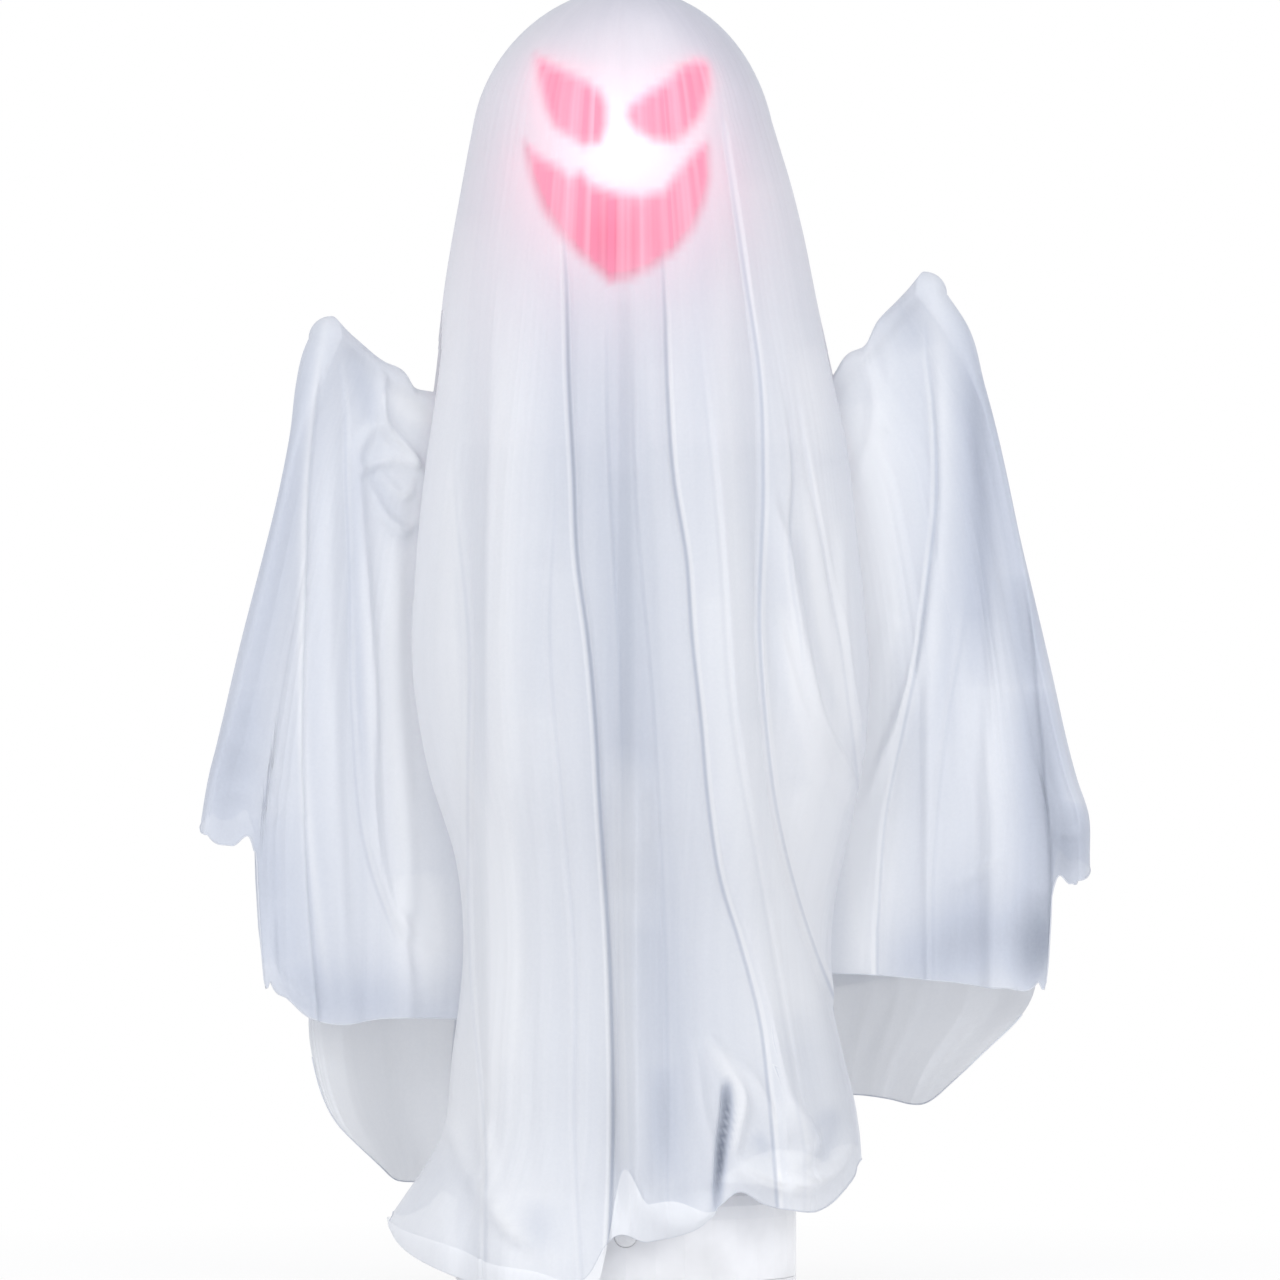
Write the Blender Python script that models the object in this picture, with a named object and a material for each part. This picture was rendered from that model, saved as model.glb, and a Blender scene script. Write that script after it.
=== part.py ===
"""Animated ghost figure: a draped cloth ghost that rises on a telescopic mast.

Metres, +Z up, front faces -Y, origin under the centre of the base on the floor.
The pose is the raised one. Sizes are named below, and the rest is worked out from them.
"""
from math import acos, asin, atan2, ceil, cos, exp, pi, sin, sqrt, tan

import bmesh
import bpy
from mathutils import Matrix, Vector

for old in list(bpy.data.objects):
    bpy.data.objects.remove(old, do_unlink=True)

# Clearances
GAP = 0.0003  # between pieces that touch
PAST = 0.002  # how far a cutter runs past the face it opens

# Base
BASE_RADIUS = 0.120
BACK_CUT = 0.016  # what the flat back takes off the round base
BACK_Y = BASE_RADIUS - BACK_CUT
PAD_IN = 0.035
PAD_RADIUS = BASE_RADIUS - PAD_IN
PAD_THICK = 0.003
PLATE_THICK = 0.003
PLATE_Z = PAD_THICK + GAP
FLOOR_Z = PLATE_Z + PLATE_THICK  # top of the floor plate
HOUSING_Z = FLOOR_Z + GAP
HOUSING_TOP = 0.068
SHOULDER_DROP = 0.018  # height of the rounded edge of the housing
SHOULDER_IN = 0.020
WALL = 0.0025
COLLAR_WALL = 0.0032
COLLAR_TOP = 0.030
BOSS_RADIUS = 0.0045
BOSS_INTO_WALL = 0.0005
BOSS_AT = BASE_RADIUS - WALL - BOSS_RADIUS + BOSS_INTO_WALL
BOSS_TOP = 0.020
SCREW_RADIUS = 0.0012
SCREW_HEAD = 0.0030
SCREW_HEAD_THICK = 0.0009
SCREW_END = 0.015
SINK = 0.0016
SMALL_HEAD = 0.00225  # of the screws in the cover and the head

# Batteries, from the size of an AA cell
CELL_RADIUS = 0.0071
CELL_HALF = 0.0252
CELL_BUTTON = 0.0028
CELL_BUTTON_LONG = 0.0010
CELL_COUNT = 3
BOX_HALF = 0.0270
BOX_WALL = 0.0015
BOX_DEEP = 0.0160
BOX_FRONT_Y = BACK_Y - WALL - GAP
CELL_PITCH = 0.0152
CONTACT_THICK = 0.0009
DOOR_HALF = 0.0285
DOOR_THICK = 0.0020
DOOR_AXIS_Z = 0.0112
DOOR_BARREL = 0.0016
DOOR_TOP = 0.0575
DOOR_PIN = 0.0008
LUG_WIDE = 0.0040
LUG_OUT = 0.0042
LUG_HALF = 0.0036
WINDOW_HALF = 0.0264
WINDOW_LOW = 0.0100
WINDOW_TOP = 0.0545

# Controls on the flat back
CONTROL_Z = 0.040
CONTROL_IN = 0.01387  # from the end of the flat back
CONTROL_X = sqrt(BASE_RADIUS ** 2 - BACK_Y ** 2) - CONTROL_IN
SWITCH_HALF = 0.0045
SWITCH_TALL = 0.0030
SWITCH_OUT = 0.0025
SWITCH_FLANGE = 0.0016
SWITCH_TRAVEL = 0.004
BUTTON_RADIUS = 0.0045
BUTTON_OUT = 0.0035
BUTTON_FLANGE = 0.0062
FLANGE_THICK = 0.0012

# Speaker, sensor and board
SPEAKER_IN = 0.052  # from the rim of the base
SPEAKER_X = SPEAKER_IN - BASE_RADIUS
SPEAKER_Y = -0.018
SPEAKER_RADIUS = 0.022
MAGNET_RADIUS = 0.011
SPEAKER_RIM = 0.004
SPEAKER_DEEP = 0.016
SLOT_COUNT = 5
SLOT_PITCH = 0.0075
SLOT_HALF = 0.0014
SENSOR_RADIUS = 0.008
SENSOR_FLANGE = 0.0105
SENSOR_BULGE = 0.0035
SENSOR_TAIL = 0.008
SENSOR_SEAT = 0.0008  # from the curved wall to the flat flange
BOARD_IN = 0.0085  # from halfway between the mast collar and the wall
BOARD_Y = -0.012
BOARD_HALF_X = 0.022
BOARD_HALF_Y = 0.034
BOARD_THICK = 0.0016
RIB_TALL = 0.004
RIB_HALF = 0.0015
CHIP_HALF = 0.006
CHIP_TALL = 0.002

# Mast
MAST_HALF = 0.020
BOARD_X = (MAST_HALF + GAP + COLLAR_WALL + BASE_RADIUS - WALL) / 2 - BOARD_IN
MAST_WALL = 0.002
MAST_TOP = 0.300
TUBE_HALF = 0.011
TUBE_WALL = 0.0016
TUBE_LOW = 0.235
TUBE_TOP = 0.600
SHOE_HALF = MAST_HALF - MAST_WALL - GAP
SHOE_LOW = 0.232
SHOE_TOP = 0.250

# Lift gears: a module is the pitch diameter over the number of teeth
PRESSURE = 25 * pi / 180
LIFT_MODULE = 0.0015
LIFT_TEETH = 10
DRIVE_MODULE = 0.0010
WHEEL_TEETH = 30
PINION_TEETH = 10
TIP_SHARE = 0.8  # height of a tooth over the pitch line, in modules
ROOT_SHARE = 1.05
BACKLASH = 0.00032  # taken off each tooth
RACK_HALF = 0.0030
RACK_BACK = TUBE_HALF + GAP
RACK_PITCH_Y = 0.0144
RACK_LOW = 0.3115
RACK_HIGH = 0.555
GEAR_Z = 0.324
GEAR_Y = RACK_PITCH_Y + LIFT_MODULE * LIFT_TEETH / 2
MOTOR_Y = GEAR_Y + DRIVE_MODULE * (WHEEL_TEETH + PINION_TEETH) / 2
PINION_HALF = 0.0035
SHAFT_RADIUS = 0.002
SHAFT_LEFT = -0.0152
SHAFT_RIGHT = 0.0207
WHEEL_LEFT = 0.0125
WHEEL_RIGHT = 0.0165
SLEEVE_WALL = 0.0025
SLEEVE_LOW = 0.278
FLANGE_TOP = 0.3053
CHEEK_LEFT = -0.0125
CHEEK_RIGHT = 0.0180
CHEEK_THICK = 0.002
CHEEK_FRONT = 0.0125
CHEEK_BACK = 0.055
CHEEK_TOP = 0.345
MOTOR_RADIUS = 0.010
MOTOR_LONG = 0.026
MOTOR_SHAFT = 0.001
MOTOR_SHAFT_END = 0.0228
MOTOR_HOLE = 0.0032
COVER_WALL = 0.0016
COVER_FRONT = 0.0190
COVER_SCREW_X = 0.0090
COVER_SCREW_LONG = 0.008

# Shoulder bar and arms
HUB_HALF = 0.014
HUB_LOW = 0.572
HUB_TOP = 0.612
BAR_HALF_Y = 0.0073
BAR_HALF_Z = 0.008
SHOULDER_X = 0.125
SHOULDER_Z = 0.600
FORK_END = 0.131
TONGUE_HALF = 0.0040
TONGUE_RADIUS = 0.0068
FORK_BASE = SHOULDER_X - TONGUE_RADIUS - GAP
PIVOT_RADIUS = 0.0015
PIVOT_HEAD = 0.0028
PIVOT_HEAD_THICK = 0.0012
ARM_RADIUS = 0.0030
ARM_STRAIGHT = 0.022
LEFT_HAND = (-0.209, -0.045, 0.669)
RIGHT_HAND = (0.213, -0.035, 0.699)
HAND_RADIUS = 0.009

# Neck and head
NECK_RADIUS = 0.009
NECK_FOOT = 0.013
NECK_FOOT_THICK = 0.004
HEAD_CENTRE = 0.8185
HEAD_RADIUS = 0.0925
HEAD_LOW = 0.690
HEAD_LOW_RADIUS = 0.058
HEAD_WALL = 0.002
HEAD_FLOOR = 0.003
NECK_PLATE = 0.027
NECK_PLATE_THICK = 0.004
HEAD_SCREW_AT = 0.019
LAMP_POST_HALF = 0.008
LAMP_POST_TOP = 0.845
LAMP_BOARD_HALF = 0.047
LAMP_BOARD_LOW = 0.742
LAMP_BOARD_TOP = 0.868
LAMP_RADIUS = 0.0042
LAMP_LONG = 0.010
LAMP_PLACES = ((-0.034, 0.835), (0.032, 0.835), (-0.003, 0.762))
LEFT_EYE = ((-0.061, 0.862), (-0.049, 0.856), (-0.029, 0.846), (-0.017, 0.838), (-0.014, 0.826),
            (-0.015, 0.812), (-0.019, 0.804), (-0.031, 0.801), (-0.047, 0.811), (-0.055, 0.824),
            (-0.060, 0.842))
RIGHT_EYE = ((0.056, 0.858), (0.058, 0.842), (0.052, 0.824), (0.042, 0.811), (0.033, 0.804),
             (0.019, 0.806), (0.006, 0.813), (0.001, 0.823), (0.004, 0.831), (0.014, 0.838),
             (0.028, 0.846), (0.048, 0.860))
MOUTH = ((-0.068, 0.803), (-0.058, 0.794), (-0.044, 0.786), (-0.038, 0.780), (-0.031, 0.782),
         (-0.022, 0.773), (-0.008, 0.768), (0.011, 0.766), (0.026, 0.770), (0.037, 0.785),
         (0.047, 0.797), (0.056, 0.804), (0.057, 0.779), (0.053, 0.762), (0.045, 0.744),
         (0.033, 0.729), (0.016, 0.717), (-0.001, 0.711), (-0.012, 0.711), (-0.021, 0.718),
         (-0.031, 0.727), (-0.045, 0.743), (-0.056, 0.761), (-0.065, 0.782))

# Cloth
CLOTH_THICK = 0.0009
DOME_RADIUS = 0.0945
DOME_ROWS = 5
HEM_LOW = 0.005
FRONT_COLUMNS = 26
BACK_COLUMNS = 16
SLIT_COLUMNS = 1  # on each side of the arm
SLIT_TOP = 0.660
SHROUD_LEFT = ((0.8185, 0.101), (0.760, 0.1185), (0.706, 0.127), (0.660, 0.133), (0.580, 0.145),
               (0.450, 0.153), (0.310, 0.128), (0.245, 0.120), (0.170, 0.1255), (0.080, 0.141),
               (0.020, 0.170))
SHROUD_RIGHT = ((0.8185, 0.101), (0.760, 0.120), (0.706, 0.132), (0.660, 0.142), (0.580, 0.157),
                (0.430, 0.172), (0.310, 0.158), (0.250, 0.148), (0.170, 0.154), (0.080, 0.168),
                (0.020, 0.165))
SHROUD_LEVELS = (0.760, 0.706, SLIT_TOP, 0.560, 0.450, 0.310, 0.170, 0.080)
DEPTH_LEVELS = (HEAD_CENTRE, 0.700, 0.550, 0.300, HEM_LOW)
DEPTH_SHARES = (1.0, 0.90, 0.88, 0.97, 1.0)  # depth of the shroud over its width at those levels
FOLD_FROM = 0.790  # folds grow from here down
FOLD_FULL = 0.560
FRONT_FOLDS = (  # (height, place) pairs of its line, how far it stands out, and its half width
    (((0.760, -0.070), (0.450, -0.080), (0.080, -0.078)), 0.009, 0.022),
    (((0.760, -0.006), (0.450, 0.010), (0.250, 0.026), (0.080, 0.032)), -0.016, 0.030),
    (((0.760, 0.054), (0.450, 0.066), (0.250, 0.088), (0.080, 0.116)), 0.008, 0.016),
    (((0.760, 0.088), (0.450, 0.102), (0.310, 0.118), (0.170, 0.160)), -0.006, 0.014),
    (((0.760, -0.114), (0.450, -0.112), (0.080, -0.108)), -0.005, 0.014))
BACK_FOLD = 0.010
BACK_FOLD_COUNT = 8
FRONT_SHARE = 0.25  # of the depth, over which the front folds fade out towards the sides
HEM_RISE = 0.050
HEM_SHARES = (0.55, 0.25)  # of the rise in the middle of the front and of the ragged waves
HEM_MIDDLE = 0.35  # half the turn that the middle takes, in radians
CAPE_TOP = 0.600
CAPE_LEVELS = (0.600, 0.520, 0.420, 0.338, 0.290, 0.250, 0.205)
CAPE_LEFT = ((0.600, 0.150), (0.460, 0.205), (0.310, 0.257), (0.255, 0.259), (0.215, 0.250),
             (0.180, 0.222), (0.110, 0.205))
CAPE_RIGHT = ((0.600, 0.156), (0.460, 0.225), (0.310, 0.288), (0.255, 0.295), (0.215, 0.288),
              (0.180, 0.270), (0.110, 0.236))
CAPE_HEM_AT_SHARES = (-1.0, -0.90, -0.62, 0.0, 0.55, 0.88, 1.0)  # of the half width, from the left
CAPE_HEM = (0.150, 0.108, 0.068, 0.085, 0.118, 0.132, 0.165)  # height of the hem at those places
CAPE_OFF = 0.0017
CAPE_SPLIT = 3  # columns of the cape to one of the shroud
CAPE_OUT = 0.008
CAPE_FORWARD = 0.030
CAPE_FORWARD_FROM = 0.338  # the sides of the cape swing forward from here down
CAPE_FULL = 0.250  # and its back is out in full here
CAPE_FLARE_BACK = 0.030
CAPE_EDGE_SHARES = (0.50, 0.98)  # of the half width, between which the cape spreads out
CAPE_FOLD = 0.009
CAPE_FOLD_COUNT = 16
DRAPE_COLUMNS = 14
DRAPE_ROWS = 10
DRAPE_AT_ARM = 0.0052  # from the middle of the rod to the cloth
DRAPE_AT_HAND = 0.0172
DRAPE_START = 0.12  # share of the arm past its bend where the cloth begins
DRAPE_SPREAD = 0.022
DRAPE_FOLD = 0.007
DRAPE_SLOPE_SHARE = 0.45  # how far the cloth falls from the ridge to its first row, in DRAPE_AT_ARM
DRAPE_BULGE = 0.018  # how far its inner edge swings out round the shroud
LEFT_DRAPE = {"hand": LEFT_HAND, "foot_in": -0.160, "foot_out": -0.297, "hem_in": 0.270,
              "hem_out": 0.322, "past": 0.010}
RIGHT_DRAPE = {"hand": RIGHT_HAND, "foot_in": 0.174, "foot_out": 0.321, "hem_in": 0.240,
               "hem_out": 0.330, "past": 0.012}

# Colours
WHITE_CLOTH = (0.80, 0.82, 0.87)
DARK_PLASTIC = (0.035, 0.035, 0.04)
GREY_PLASTIC = (0.16, 0.16, 0.17)
WHITE_PLASTIC = (0.75, 0.75, 0.76)
STEEL = (0.55, 0.55, 0.56)
RUBBER = (0.02, 0.02, 0.02)
BOARD_GREEN = (0.03, 0.16, 0.06)
RED_LENS = (0.75, 0.06, 0.16)
SENSOR_RED = (0.25, 0.02, 0.03)
LAMP_CLEAR = (0.9, 0.9, 0.9)
GEAR_WHITE = (0.72, 0.70, 0.64)
CELL_BLUE = (0.06, 0.10, 0.25)
BRASS = (0.62, 0.45, 0.18)


def finish(name, mesh, colour, metal=0.0, rough=0.5):
    """Makes the named object of a mesh and gives it a material of its own."""
    mesh.name = name
    made = bpy.data.objects.new(name, mesh)
    bpy.context.scene.collection.objects.link(made)
    stuff = bpy.data.materials.new(name)
    stuff.use_nodes = True
    shader = stuff.node_tree.nodes["Principled BSDF"]
    shader.inputs["Base Color"].default_value = (*colour, 1)
    shader.inputs["Metallic"].default_value = metal
    shader.inputs["Roughness"].default_value = rough
    mesh.materials.clear()
    mesh.materials.append(stuff)
    return made


def mesh_of(points, faces):
    """A mesh whose faces all point outwards."""
    shape = bmesh.new()
    corners = [shape.verts.new(p) for p in points]
    for face in faces:
        shape.faces.new([corners[i] for i in face])
    bmesh.ops.recalc_face_normals(shape, faces=shape.faces)
    mesh = bpy.data.meshes.new("shape")
    shape.to_mesh(mesh)
    shape.free()
    return mesh


def prism(outline, place, low, high):
    """The outline swept from low to high. place turns (a, b, height) into a point."""
    count = len(outline)
    points = [place(a, b, low) for a, b in outline] + [place(a, b, high) for a, b in outline]
    sides = [(i, (i + 1) % count, count + (i + 1) % count, count + i) for i in range(count)]
    return mesh_of(points, [tuple(range(count)), tuple(range(count, 2 * count))] + sides)


def box(x0, x1, y0, y1, z0, z1):
    outline = ((x0, y0), (x1, y0), (x1, y1), (x0, y1))
    return prism(outline, lambda a, b, h: (a, b, h), z0, z1)


def ring_points(radius, count, turn=0.0):
    steps = [2 * pi * i / count + turn for i in range(count)]
    return [(radius * cos(a), radius * sin(a)) for a in steps]


def cylinder(centre, radius, low, high, along="z", count=20):
    """A cylinder. centre holds the two coordinates across its axis, in the order x, y, z."""
    ways = {"z": lambda a, b, h: (centre[0] + a, centre[1] + b, h),
            "y": lambda a, b, h: (centre[0] + a, h, centre[1] + b),
            "x": lambda a, b, h: (h, centre[0] + a, centre[1] + b)}
    return prism(ring_points(radius, count, pi / count), ways[along], low, high)


def lathe(profile, centre=(0.0, 0.0), count=32):
    """The profile of (radius, height) points turned about a vertical axis. Radius 0 is a pole."""
    points, rows = [], []
    for radius, height in profile:
        if radius == 0:
            rows.append([len(points)] * count)
            points.append((centre[0], centre[1], height))
            continue
        rows.append(list(range(len(points), len(points) + count)))
        points += [(centre[0] + a, centre[1] + b, height) for a, b in ring_points(radius, count)]
    faces = []
    for low, high in zip(rows, rows[1:]):
        for i in range(count):
            j = (i + 1) % count
            corners = dict.fromkeys((low[i], low[j], high[j], high[i]))
            if len(corners) > 2:
                faces.append(tuple(corners))
    return mesh_of(points, faces)


def ball(centre, radius, rows=10, count=16):
    steps = [pi * i / rows for i in range(rows + 1)]
    profile = [(radius * sin(a) if 0 < i < rows else 0, centre[2] + radius * cos(a))
               for i, a in enumerate(steps)]
    return lathe(profile, centre, count)


def sweep(route, radius, count=12):
    """A round bar along a route of points, mitred at its bends."""
    points, faces = [], []
    across = Vector((0, 1, 0))
    for i, here in enumerate(route):
        before = (here - route[i - 1]).normalized() if i else None
        after = (route[i + 1] - here).normalized() if i + 1 < len(route) else None
        way = ((before or after) + (after or before)).normalized()
        side = (across - way * across.dot(way)).normalized()
        other = way.cross(side)
        wide = 1 / max(way.dot(after or before), 0.5)
        points += [here + side * a + other * b * wide for a, b in ring_points(radius, count)]
    for i in range(len(route) - 1):
        for j in range(count):
            k = (j + 1) % count
            faces.append((i * count + j, i * count + k, (i + 1) * count + k, (i + 1) * count + j))
    last = (len(route) - 1) * count
    return mesh_of(points, faces + [tuple(range(count)), tuple(range(last, last + count))])


def joined(mesh, others, how):
    """The mesh after a Boolean with each of the others in turn."""
    for other in others:
        body = bpy.data.objects.new("body", mesh)
        tool = bpy.data.objects.new("tool", other)
        for piece in (body, tool):
            bpy.context.scene.collection.objects.link(piece)
        step = body.modifiers.new("join", "BOOLEAN")
        step.operation = how
        step.solver = "EXACT"
        step.object = tool
        bpy.context.view_layer.update()
        graph = bpy.context.evaluated_depsgraph_get()
        mesh = bpy.data.meshes.new_from_object(body.evaluated_get(graph))
        for piece in (body, tool):
            bpy.data.objects.remove(piece, do_unlink=True)
    return mesh


def cut(mesh, *others):
    return joined(mesh, others, "DIFFERENCE")


def fused(mesh, *others):
    return joined(mesh, others, "UNION")


def shared(mesh, *others):
    return joined(mesh, others, "INTERSECT")


def along(pairs, height):
    """The value of a list of falling (height, value) pairs at a height, smoothly joined."""
    if height >= pairs[0][0]:
        return pairs[0][1]
    for (high, upper), (low, lower) in zip(pairs, pairs[1:]):
        if height >= low:
            share = (high - height) / (high - low)
            share = share * share * (3 - 2 * share)
            return upper + (lower - upper) * share
    return pairs[-1][1]


def between(pairs, place):
    """The value of a list of rising (place, value) pairs at a place."""
    return along([(-at, value) for at, value in pairs], -place)


# Base
def base_outline(radius, back):
    """The D shape of the base: a circle with a flat back."""
    start = asin(back / radius)
    steps = 30
    angles = [pi - start + i * (pi + 2 * start) / steps for i in range(steps + 1)]
    return [(radius * cos(a), radius * sin(a)) for a in angles]


def upright(a, b, height):
    return (a, b, height)


def screw_places():
    return [(BOSS_AT * cos(a), BOSS_AT * sin(a)) for a in [pi / 4 + i * pi / 2 for i in range(4)]]


def build_plate():
    plate = prism(base_outline(BASE_RADIUS, BACK_Y), upright, PLATE_Z, FLOOR_Z)
    outer = MAST_HALF + GAP + COLLAR_WALL
    inner = MAST_HALF + GAP
    ribs = [box(x - RIB_HALF, x + RIB_HALF, BOARD_Y - BOARD_HALF_Y, BOARD_Y + BOARD_HALF_Y,
                PLATE_Z + PLATE_THICK / 2, FLOOR_Z + RIB_TALL)
            for x in (BOARD_X - BOARD_HALF_X / 2, BOARD_X + BOARD_HALF_X / 2)]
    plate = fused(plate, box(-outer, outer, -outer, outer, PLATE_Z + PLATE_THICK / 2, COLLAR_TOP),
                  *ribs)
    holes = [box(-inner, inner, -inner, inner, FLOOR_Z, COLLAR_TOP + PAST)]
    for x, y in screw_places():
        holes.append(cylinder((x, y), SCREW_RADIUS + GAP, PLATE_Z - PAST, FLOOR_Z + PAST))
        holes.append(cylinder((x, y), SCREW_HEAD + GAP, PLATE_Z - PAST, PLATE_Z + SINK))
    finish("base_floor_plate", cut(plate, *holes), WHITE_PLASTIC)


def housing_shell():
    """The housing with its walls, before its openings."""
    def solid(inset, low, top):
        rim = BASE_RADIUS - inset
        steps = [pi / 2 * i / 3 for i in range(4)]
        curve = [(rim - SHOULDER_IN * (1 - cos(a)), top - SHOULDER_DROP * (1 - sin(a)))
                 for a in steps]
        return lathe([(0, low), (rim, low)] + curve + [(0, top)], count=36)
    reach = 2 * BASE_RADIUS
    outer = shared(solid(0, HOUSING_Z, HOUSING_TOP),
                   box(-reach, reach, -reach, BACK_Y, -reach, reach))
    inner = shared(solid(WALL, HOUSING_Z - PAST, HOUSING_TOP - WALL),
                   box(-reach, reach, -reach, BACK_Y - WALL, -reach, reach))
    return cut(outer, inner)


def build_housing():
    shell = housing_shell()
    bosses = [cylinder(place, BOSS_RADIUS, HOUSING_Z, BOSS_TOP) for place in screw_places()]
    limit = housing_limit()
    lugs = [box(x, x + LUG_WIDE, BACK_Y - WALL / 2, BACK_Y + LUG_OUT,
                DOOR_AXIS_Z - LUG_HALF, DOOR_AXIS_Z + LUG_HALF)
            for x in (-DOOR_HALF - GAP - LUG_WIDE, DOOR_HALF + GAP)]
    shell = fused(shell, *[shared(boss, limit.copy()) for boss in bosses], *lugs)
    hole = MAST_HALF + GAP
    cuts = [box(-hole, hole, -hole, hole, HOUSING_TOP - 2 * WALL, HOUSING_TOP + PAST)]
    cuts.append(box(-WINDOW_HALF, WINDOW_HALF, BACK_Y - 2 * WALL, BACK_Y + PAST,
                    WINDOW_LOW, WINDOW_TOP))
    reach = SWITCH_HALF + SWITCH_TRAVEL / 2 + GAP
    cuts.append(box(CONTROL_X - reach, CONTROL_X + reach, BACK_Y - 2 * WALL, BACK_Y + PAST,
                    CONTROL_Z - SWITCH_TALL - GAP, CONTROL_Z + SWITCH_TALL + GAP))
    cuts.append(cylinder((-CONTROL_X, CONTROL_Z), BUTTON_RADIUS + GAP, BACK_Y - 2 * WALL,
                         BACK_Y + PAST, "y"))
    cuts.append(cylinder((0, CONTROL_Z), SENSOR_RADIUS + GAP, -BASE_RADIUS - PAST,
                         -BASE_RADIUS + 2 * WALL, "y"))
    cuts += [cylinder((x, y), SCREW_RADIUS + GAP, HOUSING_Z - PAST, SCREW_END + GAP)
             for x, y in screw_places()]
    far = DOOR_HALF + LUG_WIDE + PAST
    cuts.append(cylinder((BACK_Y + GAP + DOOR_BARREL, DOOR_AXIS_Z), DOOR_PIN + GAP,
                         -far, far, "x"))
    for i in range(SLOT_COUNT):
        y = SPEAKER_Y + (i - (SLOT_COUNT - 1) / 2) * SLOT_PITCH
        half = sqrt(SPEAKER_RADIUS ** 2 - (y - SPEAKER_Y) ** 2) - SLOT_PITCH / 2
        cuts.append(box(SPEAKER_X - half, SPEAKER_X + half, y - SLOT_HALF, y + SLOT_HALF,
                        HOUSING_TOP - 2 * WALL, HOUSING_TOP + PAST))
    finish("base_housing", cut(shell, *cuts), WHITE_PLASTIC)


def housing_limit():
    """A drum as wide as the middle of the housing wall, which the screw bosses end in."""
    return cylinder((0, 0), BASE_RADIUS - WALL / 2, 0, HOUSING_TOP, count=48)


def build_base_screws():
    for i, (x, y) in enumerate(screw_places(), 1):
        head = cylinder((x, y), SCREW_HEAD, PLATE_Z + GAP, PLATE_Z + GAP + SCREW_HEAD_THICK)
        shank = cylinder((x, y), SCREW_RADIUS, PLATE_Z + 2 * GAP, SCREW_END, count=12)
        finish(f"base_screw_{i}", fused(head, shank), STEEL, 1.0, 0.3)


# Batteries and door
def cell_height(i):
    return FLOOR_Z + GAP + BOX_WALL + CELL_RADIUS + GAP + i * CELL_PITCH


def build_batteries():
    low = FLOOR_Z + GAP
    high = cell_height(CELL_COUNT - 1) + CELL_RADIUS + GAP + BOX_WALL
    side = BOX_HALF + BOX_WALL
    tray = box(-side, side, BOX_FRONT_Y - BOX_DEEP - BOX_WALL, BOX_FRONT_Y, low, high)
    room = box(-BOX_HALF, BOX_HALF, BOX_FRONT_Y - BOX_DEEP, BOX_FRONT_Y + PAST,
               low + BOX_WALL, high - BOX_WALL)
    finish("battery_box", cut(tray, room), DARK_PLASTIC)
    middle = BOX_FRONT_Y - BOX_DEEP / 2
    for i in range(CELL_COUNT):
        z = cell_height(i)
        way = 1 if i % 2 else -1
        can = cylinder((middle, z), CELL_RADIUS, -CELL_HALF, CELL_HALF - CELL_BUTTON_LONG, "x")
        tip = cylinder((middle, z), CELL_BUTTON, 0, CELL_HALF, "x", 12)
        cell = fused(can, tip)
        if way < 0:
            cell.transform(Matrix.Rotation(pi, 4, "Y"))
            cell.transform(Matrix.Translation((0, 0, 2 * z)))
        finish(f"battery_{i + 1}", cell, CELL_BLUE, 0.3, 0.35)
    for name, way in (("battery_contact_left", -1), ("battery_contact_right", 1)):
        ends = sorted((way * (BOX_HALF - GAP), way * (BOX_HALF - GAP - CONTACT_THICK)))
        strip = box(*ends, middle - CELL_RADIUS / 2, middle + CELL_RADIUS / 2,
                    low + BOX_WALL + GAP, high - BOX_WALL - GAP)
        finish(name, strip, STEEL, 1.0, 0.3)


def build_door():
    y = BACK_Y + GAP
    axis = y + DOOR_BARREL
    panel = box(-DOOR_HALF, DOOR_HALF, y, y + DOOR_THICK, DOOR_AXIS_Z, DOOR_TOP)
    barrel = cylinder((axis, DOOR_AXIS_Z), DOOR_BARREL, -DOOR_HALF, DOOR_HALF, "x", 16)
    bore = cylinder((axis, DOOR_AXIS_Z), DOOR_PIN + GAP, -DOOR_HALF - PAST, DOOR_HALF + PAST,
                    "x", 12)
    grip = box(-BOX_DEEP / 2, BOX_DEEP / 2, y + DOOR_THICK / 2, y + 2 * DOOR_THICK,
               DOOR_TOP - 2 * DOOR_THICK, DOOR_TOP)
    door = cut(fused(panel, barrel, grip), bore)
    finish_on_axis("battery_door", door, (0, axis, DOOR_AXIS_Z), WHITE_PLASTIC)
    far = DOOR_HALF + GAP + LUG_WIDE
    finish("door_hinge_pin", cylinder((axis, DOOR_AXIS_Z), DOOR_PIN, -far, far, "x", 12),
           STEEL, 1.0, 0.3)


def finish_on_axis(name, mesh, origin, colour, metal=0.0, rough=0.5):
    """A moving piece, whose own origin lies on its joint axis."""
    mesh.transform(Matrix.Translation(-Vector(origin)))
    made = finish(name, mesh, colour, metal, rough)
    made.location = origin
    return made


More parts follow.
